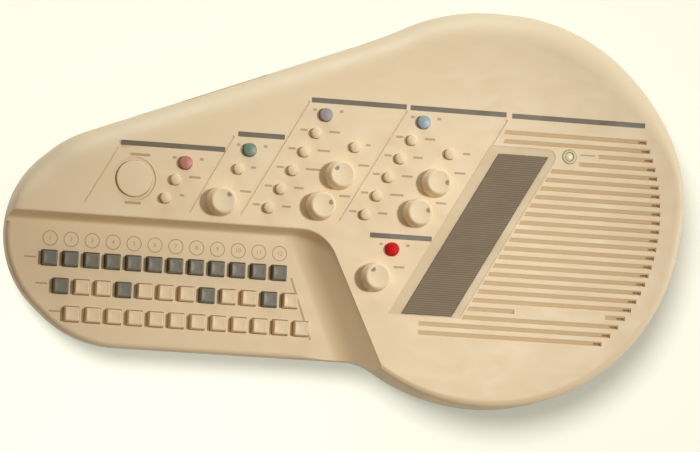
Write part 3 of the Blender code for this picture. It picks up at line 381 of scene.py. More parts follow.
def box(low, high):
    """A box between two opposite corners."""
    corners = [(low[0], low[1]), (high[0], low[1]), (high[0], high[1]), (low[0], high[1])]
    return loft("box", [[(*p, low[2]) for p in corners], [(*p, high[2]) for p in corners]])


def quarter_turn(steps, first=0):
    """Cosine and sine at even steps over a quarter turn, from the first step on."""
    angles = [math.pi / 2 * k / steps for k in range(first, steps + 1)]
    return [(math.cos(angle), math.sin(angle)) for angle in angles]


def circle(place, radius, steps):
    """Points round a circle, anticlockwise."""
    turns = [math.tau * k / steps for k in range(steps)]
    return [(place[0] + radius * math.cos(a), place[1] + radius * math.sin(a)) for a in turns]


def shifted(outline, margin):
    """Move an anticlockwise outline outwards by a margin, with mitred corners."""
    points = [Vector(p) for p in outline]
    moved = []
    for i, point in enumerate(points):
        before = (point - points[i - 1]).normalized()
        after = (points[(i + 1) % len(points)] - point).normalized()
        first, second = Vector((before.y, -before.x)), Vector((after.y, -after.x))
        moved.append(tuple(point + (first + second) * margin / (1.0 + first.dot(second))))
    return moved


def slab(outline, low, high, edge=0.0, steps=2):
    """An outline drawn up into a slab, with its upper edge rounded by a radius."""
    rings = [[(*p, low) for p in outline]]
    for cosine, sine in quarter_turn(steps) if edge else [(1.0, 0.0)]:
        margin, drop = edge * (cosine - 1.0), edge * (1.0 - sine)
        rings.append([(*p, high - drop) for p in shifted(outline, margin)])
    return loft("slab", rings)


def flared(outline, floor, top, flare, floor_tilt=0.0, steps=3):
    """A cutter whose mouth flares at the surface, so that the edge it leaves is rounded."""
    middle = sum(p[1] for p in outline) / len(outline)
    rings = [[(x, y, floor + floor_tilt * (y - middle)) for x, y in outline]]
    for cosine, sine in quarter_turn(steps):
        margin, rise = flare * (1.0 - cosine), flare * sine
        rings.append([(*p, top - flare + rise) for p in shifted(outline, margin)])
    rings.append([(x, y, top + WALL) for x, y, _ in rings[-1]])
    return loft("flared", rings)


def turned(profile, steps, place=(0.0, 0.0, 0.0)):
    """Turn a profile of (radius, height), listed from the top down, about the Z axis."""
    rings = []
    for radius, height in reversed(profile):
        reach = max(radius, NARROWEST)
        rings.append([(x, y, place[2] + height) for x, y in circle(place, reach, steps)])
    return loft("turned", rings)


def ring_turned(profile, steps, place, name):
    """A ring: a closed profile of (radius, height), turned about an upright axis."""
    return tube(name, [[(x, y, h) for x, y in circle(place, r, steps)] for r, h in profile])


print("mesh helpers ready")


# %% [markdown]
# A piece is a mesh with a finish that rides on one body of the construction. The weighted
# normals let a big flat deck stay flat in the light while the narrow rounded edge beside it
# takes up the whole turn, as on a real moulding.
# %% Helpers that place and carve pieces
SHARP = math.radians(35)


def add_piece(name, mesh, material, body, slot=None, replaces=(), smooth=True):
    """Make a piece that rides on a body and hide the parts that it replaces; the slot is not used.
    """
    mesh.materials.clear()
    mesh.materials.append(material)
    piece = new_object(name, mesh)
    if smooth:
        mesh.shade_smooth()
        mesh.set_sharp_from_angle(angle=SHARP)
        weigh = piece.modifiers.new("even_normals", "WEIGHTED_NORMAL")
        weigh.keep_sharp = True
    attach(piece, body)
    if replaces:
        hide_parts(*replaces)
    return piece


def carved(mesh, tool, operation):
    """Cut a tool out of a mesh, or join it on, and return the new mesh."""
    blank, cutter = new_object("blank", mesh), new_object("cutter", tool)
    step = blank.modifiers.new("step", "BOOLEAN")
    step.operation = operation
    step.object = cutter
    step.solver = "EXACT"
    bpy.context.view_layer.update()
    evaluated = blank.evaluated_get(bpy.context.evaluated_depsgraph_get())
    result = bpy.data.meshes.new_from_object(evaluated)
    for item in (blank, cutter):
        bpy.data.objects.remove(item)
    return result


def cut_out(mesh, tools):
    """Cut several separate tools out of a mesh."""
    return carved(mesh, merged("tools", tools), "DIFFERENCE")


print("piece helpers ready")


# %% [markdown]
# Seen from above, the casing is a belt round a few pulleys: a big round bowl that swells a
# little towards the rear right, a smaller left end whose tip curves tighter, and two pulleys
# that bend the belt in for the waist. Arcs that meet along common tangents give the clean
# line that a draughtsman would draw. The bowl's size comes from the construction.
# %% Draw the outline
BOWL_CENTRE = (120.2 * MM, 0.0)
BOWL_RADIUS = BOWL_CENTRE[1] - shell_low.y
SWELL_REACH = 17.4 * MM
SWELL_HEADING = math.radians(40)
SWELL_TIGHTER = 11.3 * MM
FRONT_Y = -137.7 * MM
END_CENTRE_X = -195.0 * MM
END_RADIUS = 93.6 * MM
TIP_TIGHTER = 9.1 * MM
TIP_PROUD = 4.7 * MM
REAR_WAIST_RADIUS = 450.0 * MM
REAR_WAIST_DEPTH = 2.4 * MM
FRONT_WAIST_RADIUS = 50.0 * MM
ARC_STEP = math.radians(2.5)
LINE_STEP = 20.0 * MM
SAME_POINT = 0.5 * MM


def tangent_heading(first, second):
    """Heading of the belt that runs from one pulley to the next."""
    (c1, r1), (c2, r2) = first, second
    across = c2 - c1
    rise = (r2 - r1) / across.length
    return math.atan2(across.y, across.x) - math.asin(max(-1.0, min(1.0, rise)))


def belt(pulleys):
    """Points and outward normals of a belt round pulleys; a negative radius bends it in."""
    count = len(pulleys)
    headings = [tangent_heading(pulleys[i], pulleys[(i + 1) % count]) for i in range(count)]
    outline = []

    def add(point, normal):
        if not outline or (outline[-1][0] - point).length > SAME_POINT:
            outline.append((point, normal))

    for i, (centre, radius) in enumerate(pulleys):
        start = headings[i - 1] - math.pi / 2
        turn = (headings[i] - headings[i - 1]) % math.tau
        if radius < 0:
            turn -= math.tau
        steps = max(2, math.ceil(abs(turn) / ARC_STEP))
        for k in range(steps + 1):
            angle = start + turn * k / steps
            normal = Vector((math.cos(angle), math.sin(angle)))
            add(centre + normal * radius, normal)
        here, normal = outline[-1]
        next_centre, next_radius = pulleys[(i + 1) % count]
        there = next_centre + normal * next_radius
        pieces = max(1, round((there - here).length / LINE_STEP))
        for k in range(1, pieces):
            add(here.lerp(there, k / pieces), normal)
    if (outline[-1][0] - outline[0][0]).length < SAME_POINT:
        outline.pop()
    return outline


def casing_pulleys():
    """The circles that the outline runs round, anticlockwise from the bowl."""
    bowl = Vector(BOWL_CENTRE)
    swell = bowl + SWELL_REACH * Vector((math.cos(SWELL_HEADING), math.sin(SWELL_HEADING)))
    end = Vector((END_CENTRE_X, FRONT_Y + END_RADIUS))
    tip = end - Vector((TIP_TIGHTER + TIP_PROUD, 0.0))
    heading = tangent_heading((bowl, BOWL_RADIUS), (end, END_RADIUS))
    along = Vector((math.cos(heading), math.sin(heading)))
    outward = Vector((along.y, -along.x))
    rise = BOWL_RADIUS + REAR_WAIST_RADIUS - REAR_WAIST_DEPTH
    run = math.sqrt((BOWL_RADIUS + REAR_WAIST_RADIUS) ** 2 - rise ** 2)
    rear_waist = bowl + outward * rise + along * run
    drop = bowl.y - (FRONT_Y - FRONT_WAIST_RADIUS)
    back = math.sqrt((BOWL_RADIUS + FRONT_WAIST_RADIUS) ** 2 - drop ** 2)
    front_waist = bowl - Vector((back, drop))
    return [
        (bowl, BOWL_RADIUS), (swell, BOWL_RADIUS - SWELL_TIGHTER), (bowl, BOWL_RADIUS),
        (rear_waist, -REAR_WAIST_RADIUS), (end, END_RADIUS), (tip, END_RADIUS - TIP_TIGHTER),
        (end, END_RADIUS), (front_waist, -FRONT_WAIST_RADIUS),
    ]


OUTLINE = belt(casing_pulleys())
print("outline has", len(OUTLINE), "points")


# %% [markdown]
# The upper casing's wall leans in a little, so that it leaves the mould, and its top edge is
# a soft quarter round that grows from a few millimetres in front to a broad shoulder at the
# rear. The radius is a smooth function of the way that the wall faces, so one loft of rings
# makes the whole edge.
# %% Raise the block of the upper casing
REAR_EDGE_RADIUS = 28.0 * MM
FRONT_EDGE_RADIUS = 6.0 * MM
SIDE_EDGE_CHANGE = 3.0 * MM
EDGE_STEPS = 10
DRAFT = 0.026
SHOULDER_HEADING = (0.1, 0.75)
SMALLEST_INNER_RADIUS = 0.6 * MM


def ring_along(outline, inset_of, height_of):
    """A ring along the outline, each point moved in and up by its own amounts."""
    ring = []
    for point, normal in outline:
        place = point - normal * inset_of(point, normal)
        ring.append((place.x, place.y, height_of(point, normal)))
    return ring


def smooth_step(low, high, value):
    """Ease from 0 to 1 as value goes from low to high."""
    t = min(1.0, max(0.0, (value - low) / (high - low)))
    return t * t * (3.0 - 2.0 * t)


def edge_radius(normal):
    """Radius of the casing's upper edge, which is large at the rear and small elsewhere."""
    small = FRONT_EDGE_RADIUS + SIDE_EDGE_CHANGE * normal.x
    return small + (REAR_EDGE_RADIUS - small) * smooth_step(*SHOULDER_HEADING, normal.y)


def casing_block(low, top, inward, radius_of):
    """A block along the outline whose wall leans in and whose upper edge is rounded."""
    def lean(point, normal):
        return inward + DRAFT * (top - radius_of(point, normal) - JOINT)

    rings = [ring_along(OUTLINE, lambda p, n: inward, lambda p, n: low)]
    for cosine, sine in quarter_turn(EDGE_STEPS):
        rings.append(ring_along(
            OUTLINE,
            lambda p, n: lean(p, n) + radius_of(p, n) * (1.0 - cosine),
            lambda p, n: top - radius_of(p, n) * (1.0 - sine),
        ))
    return loft("block", rings)


def inner_radius(point, normal):
    """Radius inside the wall, which is the outer one less the wall."""
    return max(edge_radius(normal) - WALL, SMALLEST_INNER_RADIUS)


block = casing_block(JOINT, DECK, 0.0, lambda p, n: edge_radius(n))
print("block has", len(block.polygons), "faces")


# %% [markdown]
# The chord deck lies lower, and a hollow cove turns up from it to a crisp ridge. The space
# above it is one cutter. It is a loft between two paths, the foot of the cove and the line
# of the ridge. At the rear the cove curves up to the ridge all the way. At the right it
# bends up at first and then runs straight. The cutter itself is first cut by a low block
# with a rounded rim, which leaves that rim on the chord deck.
# %% Carve the chord deck and its cove
RIDGE_Y = -29.8 * MM
RIDGE_CORNER_X = -24.4 * MM
RIDGE_LEAN = math.radians(25.8)
RIDGE_CORNER_RADIUS = 34.0 * MM
RIDGE_ROUNDING = 1.6 * MM
ROUNDING_LOSS = 0.75
ROUNDING_STEPS = 4
FOOT_LINE_Y = -37.3 * MM
FOOT_CORNER_X = -50.5 * MM
FOOT_LEAN = math.radians(22.9)
FOOT_CORNER_RADIUS = 22.0 * MM
COVE_BEND = 0.56
COVE_POWER = 4
RIM_RADIUS = 4.0 * MM
BELOW_JOINT = 5.0 * MM
RIM_FADE = 16.0 * MM
RIM_END_X = -24.0 * MM
NO_RIM = 0.02 * MM
COVE_STEPS = 18
CORNER_STEPS = 24
RUN_STEPS = 8
CUT_LEFT, CUT_FRONT, CUT_TOP = -0.34, -0.2, DECK + 20.0 * MM


def corner_path(corner, lean, radius, outward):
    """A run to the right, a round corner, and a leaning run to the front."""
    heading = lean - math.pi / 2
    centre = Vector(corner) - Vector((radius * math.tan(-heading / 2), radius))
    reach = radius + outward
    path = [Vector((CUT_LEFT, centre.y + reach)), Vector((centre.x, centre.y + reach))]
    for k in range(1, CORNER_STEPS + 1):
        angle = math.pi / 2 + heading * k / CORNER_STEPS
        path.append(centre + reach * Vector((math.cos(angle), math.sin(angle))))
    out = Vector((math.cos(heading), math.sin(heading)))
    run = out * ((CUT_FRONT - path[-1].y) / out.y)
    return path + [path[-1] + run * k / RUN_STEPS for k in range(1, RUN_STEPS + 1)]


def ridge_path(outward):
    """The line where the cove meets the high deck."""
    return corner_path((RIDGE_CORNER_X, RIDGE_Y), RIDGE_LEAN, RIDGE_CORNER_RADIUS, outward)


def foot_path(outward):
    """The line where the cove leaves the chord deck."""
    return corner_path((FOOT_CORNER_X, FOOT_LINE_Y), FOOT_LEAN, FOOT_CORNER_RADIUS, outward)


def cove_rise(share, turned_right):
    """Share of the cove's height at a share of its width, at the rear or at the right."""
    bent = share * share / (2.0 * COVE_BEND) if share < COVE_BEND else share - COVE_BEND / 2
    straight = bent / (1.0 - COVE_BEND / 2)
    return straight * turned_right + share ** COVE_POWER * (1.0 - turned_right)


def deck_cutter(outward, lower, skirt):
    """What lies above the chord deck: a flat floor, the cove and the ridge."""
    foot, ridge = foot_path(outward), ridge_path(outward)
    floor, deck = CHORD_DECK - lower, DECK - lower
    turns = [smooth_step(0, CORNER_STEPS + RUN_STEPS, i - 1) for i in range(len(foot))]
    roundings = [RIDGE_ROUNDING * (1.0 - ROUNDING_LOSS * turn) for turn in turns]
    rows = [[(*p, floor - skirt) for p in foot]] if skirt else []
    for k in range(COVE_STEPS + 1):
        share = k / COVE_STEPS
        rows.append([
            (*a.lerp(b, share), floor + (deck - rounding - floor) * cove_rise(share, turn))
            for a, b, turn, rounding in zip(foot, ridge, turns, roundings)
        ])
    for cosine, sine in quarter_turn(ROUNDING_STEPS, 1):
        rows.append([
            (*a.lerp(b, rounding * (1.0 - cosine) / RIDGE_ROUNDING), deck - rounding * (1.0 - sine))
            for a, b, rounding in zip(ridge, ridge_path(outward + RIDGE_ROUNDING), roundings)
        ])
    rows.append([(x, y, CUT_TOP) for x, y, _ in rows[-1]])
    rings = [row + [(CUT_LEFT, CUT_FRONT, row[0][2])] for row in rows]
    return loft("deck_cutter", [list(reversed(ring)) for ring in rings])


def rim_radius(point, normal):
    """Radius of the chord deck's rim, which fades out where the cove starts."""
    share = smooth_step(RIM_END_X, RIM_END_X - RIM_FADE, point.x)
    return max(RIM_RADIUS * share, NO_RIM)


rim_block = casing_block(JOINT - BELOW_JOINT, CHORD_DECK, 0.0, rim_radius)
above_chords = carved(deck_cutter(0.0, 0.0, RIM_RADIUS + PAST), rim_block, "DIFFERENCE")
block = carved(block, above_chords, "DIFFERENCE")
print("block with its chord deck has", len(block.polygons), "faces")


# %% [markdown]
# The real casing is a thin wall, so the same block and the same cutter are made once more,
# a wall's thickness further in, and taken out. Posts for the board's screws then stand
# under the deck.
# %% Hollow out the upper casing
CONTROL_BOARD_TOP = 50.0 * MM
POST_RADIUS = 3.2 * MM
CONTROL_POSTS = ((-204.0, -18.0), (-92.0, -18.0), (-64.0, 78.0), (108.0, 62.0), (38.0, -74.0))
hollow = casing_block(JOINT - BELOW_JOINT, DECK - WALL, WALL, inner_radius)
hollow = carved(hollow, deck_cutter(WALL, WALL, 0.0), "DIFFERENCE")
block = carved(block, hollow, "DIFFERENCE")
posts = [
    slab(circle((x * MM, y * MM), POST_RADIUS, 16), CONTROL_BOARD_TOP + GAP, DECK - WALL / 2)
    for x, y in CONTROL_POSTS
]
block = carved(block, merged("posts", posts), "UNION")
print("hollow casing has", len(block.polygons), "faces")


# %% [markdown]
# Every hole keeps the place of the button or knob that goes through it, which is read from
# the construction. Each cutter flares at the surface, so that the rim of the hole is round,
# as a moulded one is.
# %% Cut the round holes and the key wells
HOLE_EDGE = 0.35 * MM
SLIDE = 0.35 * MM
SHAFT_RADIUS = 3.0 * MM
CAP_RADIUS = 5.6 * MM
SMALL_RADIUS = 4.4 * MM
PAD_RADIUS = 15.2 * MM
PAD_RING_RADIUS = 18.2 * MM
PAD_RING_DEPTH = 1.0 * MM
KNOBS = ("melody_volume", "rhythm_tempo", "rhythm_volume", "chord_tone", "chord_volume",
         "master_volume")
KEY_ROWS = 3
KEY_COLUMNS = 12
SELECTOR_COLUMNS = ((-36.9 * MM, 52.4 * MM), (46.6 * MM, 52.4 * MM))
SELECTOR_COUNT = 5
SELECTOR_STEP = (-9.44 * MM, -16.55 * MM)


def plan_place(node):
    """Middle of a node in plan."""
    low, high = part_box(node)
    return ((low.x + high.x) / 2, (low.y + high.y) / 2)


KNOB_PLACES = {name: plan_place(name + "_knob") for name in KNOBS}
CAP_PLACES = {name: plan_place(name + "_push_cap") for name in CAPS}
SMALL_PLACES = {k: plan_place(f"small_button_{k}") for k in range(1, 6)}
PAD_PLACE = plan_place("start_pad")
KEY_PLACES = {
    (row, column): plan_place(f"chord_key_{row}_{column:02d}")
    for row in range(1, KEY_ROWS + 1) for column in range(1, KEY_COLUMNS + 1)
}
SELECTOR_PLACES = [
    (x + k * SELECTOR_STEP[0], y + k * SELECTOR_STEP[1])
    for x, y in SELECTOR_COLUMNS for k in range(SELECTOR_COUNT)
]


def rounded_box_outline(place, half_x, half_y, radius, steps=4):
    """A rectangle with round corners, anticlockwise."""
    outline = []
    for quarter, (sx, sy) in enumerate(((1, 1), (-1, 1), (-1, -1), (1, -1))):
        centre = (place[0] + sx * (half_x - radius), place[1] + sy * (half_y - radius))
        for k in range(steps + 1):
            angle = math.pi / 2 * (quarter + k / steps)
            outline.append((
                centre[0] + radius * math.cos(angle), centre[1] + radius * math.sin(angle)
            ))
    return outline


KEY_LENGTH, KEY_DEPTH, KEY_CORNER = 13.2 * MM, 12.8 * MM, 1.0 * MM


def through_holes():
    """Cutters of the round holes and the key wells."""
    floor = DECK - 2.0 * WALL
    sized = [(place, SHAFT_RADIUS) for place in KNOB_PLACES.values()]
    sized += [(place, CAP_RADIUS) for place in CAP_PLACES.values()]
    sized += [(place, SMALL_RADIUS) for place in list(SMALL_PLACES.values()) + SELECTOR_PLACES]
    for place, radius in sized:
        yield flared(circle(place, radius + SLIDE, 32), floor, DECK, HOLE_EDGE)
    pad_hole = circle(PAD_PLACE, PAD_RADIUS + SLIDE, 64)
    yield flared(pad_hole, floor, DECK - PAD_RING_DEPTH, HOLE_EDGE)
    half_x, half_y = KEY_LENGTH / 2 + SLIDE, KEY_DEPTH / 2 + SLIDE
    for place in KEY_PLACES.values():
        well = rounded_box_outline(place, half_x, half_y, KEY_CORNER)
        yield flared(well, CHORD_DECK - 2.0 * WALL, CHORD_DECK, HOLE_EDGE)


pad_ring = flared(circle(PAD_PLACE, PAD_RING_RADIUS, 64), DECK - PAD_RING_DEPTH, DECK, HOLE_EDGE)
block = carved(block, pad_ring, "DIFFERENCE")
block = cut_out(block, through_holes())
print("pierced casing has", len(block.polygons), "faces")


# %% [markdown]
# The loudspeaker speaks through louvres. Each one is a channel whose floor slopes down to its
# front wall, so that it lies in shade, and a narrow slot at its right end goes right
# through. The channels end on a slanted line beside the strum plate and on an arc inside
# the bowl's edge, so their ends come from one formula. The channels by the lamp start late
# to leave it plain casing.
# %% Cut the louvres
LOUVRE_COUNT = 24
LOUVRE_PITCH = 7.66 * MM
LOUVRE_TOP_Y = 65.4 * MM
LOUVRE_WIDTH = 3.3 * MM
LOUVRE_DEPTH = 1.2 * MM
LOUVRE_TILT = 0.46
LOUVRE_EDGE = 0.7 * MM
LOUVRE_ARC_CENTRE_X = 117.0 * MM
LOUVRE_ARC_RADIUS = 152.3 * MM
LOUVRE_FROM_STRUM = 9.6 * MM
LOUVRE_TOP_START_X = 128.0 * MM
LOUVRE_BOTTOM_START_X = 60.0 * MM
SQUARE_LOUVRES = 2
PLAIN_LOUVRE = 20
PLAIN_STRETCH = (143.0 * MM, 224.0 * MM)
LAMP_PLACE = (186.3 * MM, 48.5 * MM)
LAMP_RING_RADIUS = 6.4 * MM
LAMP_DEPTH = 1.5 * MM
PLAIN_ABOVE_LAMP = 26.0 * MM
PLAIN_BELOW_LAMP = 9.0 * MM
STRUM_CORNER = (44.8 * MM, -95.2 * MM)
STRUM_WIDTH = 43.6 * MM
STRUM_LENGTH = 141.8 * MM
STRUM_LEAN = math.radians(29.1)
SLOT_LENGTH = 7.0 * MM
SLOT_WIDTH = 1.7 * MM


def louvre_runs():
    """Height on the deck, left end, right end and left lean of each louvre channel."""
    lean = math.tan(STRUM_LEAN)
    plate_right = STRUM_CORNER[0] + STRUM_WIDTH + LOUVRE_FROM_STRUM
    for i in range(LOUVRE_COUNT):
        y = LOUVRE_TOP_Y - i * LOUVRE_PITCH
        start, slope = plate_right + lean * (y - STRUM_CORNER[1]), lean
        if i < SQUARE_LOUVRES:
            start = LOUVRE_TOP_START_X
        if i >= LOUVRE_COUNT - SQUARE_LOUVRES:
            start, slope = LOUVRE_BOTTOM_START_X, 0.0
        if abs(y - LAMP_PLACE[1]) < LAMP_RING_RADIUS + LOUVRE_WIDTH / 2:
            plain = PLAIN_ABOVE_LAMP if y > LAMP_PLACE[1] else PLAIN_BELOW_LAMP
            start, slope = LAMP_PLACE[0] + plain, 0.0
        end = LOUVRE_ARC_CENTRE_X + math.sqrt(LOUVRE_ARC_RADIUS ** 2 - y ** 2)
        if i == PLAIN_LOUVRE:
            yield y, start, PLAIN_STRETCH[0], slope
            start, slope = PLAIN_STRETCH[1], 0.0
        yield y, start, end, slope


def channel_outline(y, start, end, slope):
    """Outline of a channel, with a slanted left end."""
    half = LOUVRE_WIDTH / 2
    return [(start - slope * half, y - half), (end, y - half), (end, y + half),
            (start + slope * half, y + half)]


channels = [
    flared(channel_outline(*run), DECK - LOUVRE_DEPTH, DECK, LOUVRE_EDGE, LOUVRE_TILT)
    for run in louvre_runs()
]
slots = [
    slab([(end - SLOT_LENGTH, y - SLOT_WIDTH / 2), (end - LOUVRE_EDGE, y - SLOT_WIDTH / 2),
          (end - LOUVRE_EDGE, y + SLOT_WIDTH / 2), (end - SLOT_LENGTH, y + SLOT_WIDTH / 2)],
         DECK - 2.0 * WALL, DECK)
    for y, _, end, _ in louvre_runs() if end > PLAIN_STRETCH[0]
]
block = cut_out(block, channels)
block = cut_out(block, slots)
print("louvred casing has", len(block.polygons), "faces")


# %% [markdown]
# A smooth band a little below the deck frames the strum plate, and fine grooves split the
# deck into panels that slant like the plate. Both are shallow, so they are cut last.
# %% Cut the plate's band, its seat and the panel grooves
BAND = 6.8 * MM
BAND_DEPTH = 0.5 * MM
BAND_BELOW = 1.0 * MM
BAND_CORNER = 7.0 * MM
SEAT_DEPTH = 1.6 * MM
LEFT_LINE = 9.8 * MM
GROOVE_WIDTH = 1.7 * MM
GROOVE_DEPTH = 0.9 * MM
GROOVE_EDGE = 0.6 * MM
GROOVES = (
    ((-205.6, 29.1), (-232.6, -19.8)),
    ((-107.7, 45.0), (-142.4, -21.3)),
    ((-44.0, 79.4), (-99.1, -21.0)),
    ((40.8, 77.3), (-13.9, -19.8)),
    ((129.4, 75.9), (117.4, 54.6)),
)


def strum_outline(left, right, below, above):
    """The strum plate's parallelogram, moved out by four margins."""
    lean, x, y = math.tan(STRUM_LEAN), *STRUM_CORNER
    low, high = y - below, y + STRUM_LENGTH + above
    west, east = x - left / math.cos(STRUM_LEAN), x + STRUM_WIDTH + right / math.cos(STRUM_LEAN)
    return [
        (west - lean * below, low), (east - lean * below, low),
        (east + lean * (high - y), high), (west + lean * (high - y), high),
    ]


def rounded_corner(outline, index, radius, steps=8):
    """Replace one corner of an outline by an arc that touches both its sides."""
    corner = Vector(outline[index])
    before = (Vector(outline[index - 1]) - corner).normalized()
    after = (Vector(outline[(index + 1) % len(outline)]) - corner).normalized()
    half = before.angle(after) / 2
    centre = corner + (before + after).normalized() * radius / math.sin(half)
    start, end = corner + before * radius / math.tan(half), corner + after * radius / math.tan(half)
    first = math.atan2(start.y - centre.y, start.x - centre.x)
    sweep = (math.atan2(end.y - centre.y, end.x - centre.x) - first) % math.tau
    arc = [
        (centre.x + radius * math.cos(first + sweep * k / steps),
         centre.y + radius * math.sin(first + sweep * k / steps))
        for k in range(steps + 1)
    ]
    return outline[:index] + arc + outline[index + 1:]


def groove_outline(start, end):
    """A narrow strip between two points, anticlockwise."""
    a, b = Vector(end) * MM, Vector(start) * MM
    along = (b - a).normalized()
    side = Vector((along.y, -along.x)) * GROOVE_WIDTH / 2
    return [tuple(a + side), tuple(b + side), tuple(b - side), tuple(a - side)]


band = rounded_corner(strum_outline(LEFT_LINE, BAND, BAND_BELOW, BAND), 2, BAND_CORNER)
grooves = [
    flared(groove_outline(*ends), DECK - GROOVE_DEPTH, DECK, GROOVE_EDGE) for ends in GROOVES
]
seat = strum_outline(GAP, GAP, GAP, GAP)
block = carved(block, flared(band, DECK - BAND_DEPTH, DECK, HOLE_EDGE), "DIFFERENCE")
block = cut_out(block, grooves)
block = carved(block, slab(seat, DECK - SEAT_DEPTH, DECK + WALL), "DIFFERENCE")
lamp_seat = slab(circle(LAMP_PLACE, LAMP_RING_RADIUS, 40), DECK - LAMP_DEPTH, DECK + WALL)
block = carved(block, lamp_seat, "DIFFERENCE")
print("casing with its seats has", len(block.polygons), "faces")


# %% [markdown]
# Six dark bars are let into the deck, beside the groups of controls. Each one needs a
# shallow seat of its own outline, a hair's breadth wider all round.
# %% Sink the seats of the dark bars
BAR_WIDTH = 4.1 * MM
BAR_DEPTH = 0.5 * MM
BAR_CORNER = 0.6 * MM
BAR_PLAY = 0.1 * MM
BARS = (
    (-203.1, -114.3, 33.0), (-103.7, -63.6, 47.2), (-41.7, 41.0, 80.8),
    (44.5, 129.0, 80.5), (134.2, 252.7, 80.0), (14.2, 68.1, -30.5),
)


def bar_outline(left, right, y, margin=0.0):
    """Plan of one bar, whose ends are a little round."""
    place = ((left + right) / 2 * MM, y * MM)
    half = (right - left) / 2 * MM + margin
    return rounded_box_outline(place, half, BAR_WIDTH / 2 + margin, BAR_CORNER)


seats = [slab(bar_outline(*bar, BAR_PLAY), DECK - BAR_DEPTH, DECK + WALL) for bar in BARS]
block = cut_out(block, seats)
print(len(BARS), "bar seats")


# %% [markdown]
# The cables plug in at the rear, where the photograph does not look. Three sockets in a flat
# land are the usual place for them. The wall rounds over above it, so the land is an oblong
# with round corners that is pushed into the wall along the way it faces, over a thicker pad.
# %% Cut the socket land
SOCKET_MIDDLE_X = -113.5 * MM
SOCKET_HEIGHT = 36.6 * MM
SOCKET_PITCH = 24.0 * MM
SOCKET_HOLE_RADIUS = 4.2 * MM
LAND_HALF = 39.0 * MM
LAND_LOW, LAND_HIGH = 31.0 * MM, 42.0 * MM
LAND_INSET = 1.4 * MM
LAND_CORNER = 3.0 * MM
LAND_BACKING = 3.6 * MM
LAND_OVERLAP = 0.4 * MM
LAND_MOUTH = (-20.0 * MM, 1.0 * MM)
LAND_FLARE = (0.6 * MM, 0.3 * MM)
SOCKET_OFFSETS = tuple(SOCKET_PITCH * k for k in (-1, 0, 1))


def rear_frame():
    """Middle of the land on the straight rear edge, the way along it and the way out."""
    rear = [(p, n) for p, n in OUTLINE if n.y > 0.9 and n.x < -0.3]
    point, outward = min(rear, key=lambda item: abs(item[0].x - SOCKET_MIDDLE_X))
    along = Vector((outward.y, -outward.x))
    return point + along * (SOCKET_MIDDLE_X - point.x) / along.x, along, outward


REAR_POINT, REAR_ALONG, REAR_OUT = rear_frame()


def rear_ring(outline, depth):
    """A ring from an outline of (way along, height), at a depth behind the rear edge."""
    base = REAR_POINT - REAR_OUT * depth
    return [(*(base + REAR_ALONG * a), h) for a, h in outline]


def through_rear(outline, rings):
    """Loft an outline of (way along, height) inwards; rings are (depth, margin) pairs."""
    return loft("through_rear", [
        rear_ring(shifted(outline, margin) if margin else outline, depth) for depth, margin in rings
    ])


def socket_circle(offset, radius):
    """Outline of a round hole at one socket."""
    return circle((offset, SOCKET_HEIGHT), radius, 32)


land_place = (0.0, (LAND_LOW + LAND_HIGH) / 2)
land = rounded_box_outline(land_place, LAND_HALF, (LAND_HIGH - LAND_LOW) / 2, LAND_CORNER)
pad = rounded_box_outline(land_place, LAND_HALF + WALL, (LAND_HIGH - LAND_LOW) / 2, LAND_CORNER)
deepest = LAND_INSET + LAND_BACKING
pad_rings = [(LAND_INSET + LAND_OVERLAP, 0.0), (deepest, 0.0)]
block = carved(block, through_rear(pad, pad_rings), "UNION")
land_rings = [LAND_MOUTH, (LAND_INSET - LAND_FLARE[0], LAND_FLARE[1]), (LAND_INSET, 0.0)]
block = carved(block, through_rear(land, land_rings), "DIFFERENCE")
hole_rings = [(LAND_INSET - WALL, HOLE_EDGE), (LAND_INSET, HOLE_EDGE),
              (LAND_INSET + HOLE_EDGE, 0.0), (deepest + WALL, 0.0)]
socket_rounds = [socket_circle(a, SOCKET_HOLE_RADIUS) for a in SOCKET_OFFSETS]
block = cut_out(block, [through_rear(outline, hole_rings) for outline in socket_rounds])
add_piece("upper_casing", block, CREAM, "casing", "cream", ["top_shell"])
print("finished casing has", len(block.polygons), "faces")


# %% [markdown]
# The louvre channels are a little darker than the deck, as painted shade in the grooves. Faces
# inside a channel get a second finish of their own, picked by where they lie. A strip of brown
# cloth lies under the slots at the right ends of the channels, as it does over a loudspeaker.
# %% Paint shade into the louvres and back them with cloth
CLOTH_REACH = (138.0 * MM, 154.0 * MM)
CLOTH_HEADINGS = (math.radians(-50), math.radians(27))
CLOTH_STEPS = 24
CLOTH_UNDER = (0.7 * MM, 0.2 * MM)


def in_a_channel(point):
    """Whether a point of the casing lies in one of the louvre channels."""
    return any(
        abs(point.y - y) < LOUVRE_WIDTH / 2 and start - LOUVRE_WIDTH < point.x < end
        for y, start, end, _ in louvre_runs()
    )


block.materials.append(LOUVRE_PAINTED_SHADE)
# The faces in the channels take the darker finish, which is painted shade.
shade_painted = [face for face in block.polygons
         if DECK - WALL < face.center.z < DECK - LOUVRE_EDGE and in_a_channel(face.center)]
for face in shade_painted:
    face.material_index = 1


def cloth_arc(reach, first, last):
    """Points of one edge of the cloth, from one heading to another."""
    headings = [first + (last - first) * k / CLOTH_STEPS for k in range(CLOTH_STEPS + 1)]
    return [(LOUVRE_ARC_CENTRE_X + reach * math.cos(a), reach * math.sin(a)) for a in headings]


cloth_outline = cloth_arc(CLOTH_REACH[1], *CLOTH_HEADINGS)
cloth_outline += cloth_arc(CLOTH_REACH[0], *CLOTH_HEADINGS[::-1])
cloth = slab(cloth_outline, *(DECK - WALL - under for under in CLOTH_UNDER))
add_piece("grille_cloth", cloth, CLOTH, "casing", "speaker")
print(len(shade_painted), "faces of the louvres are dusty")


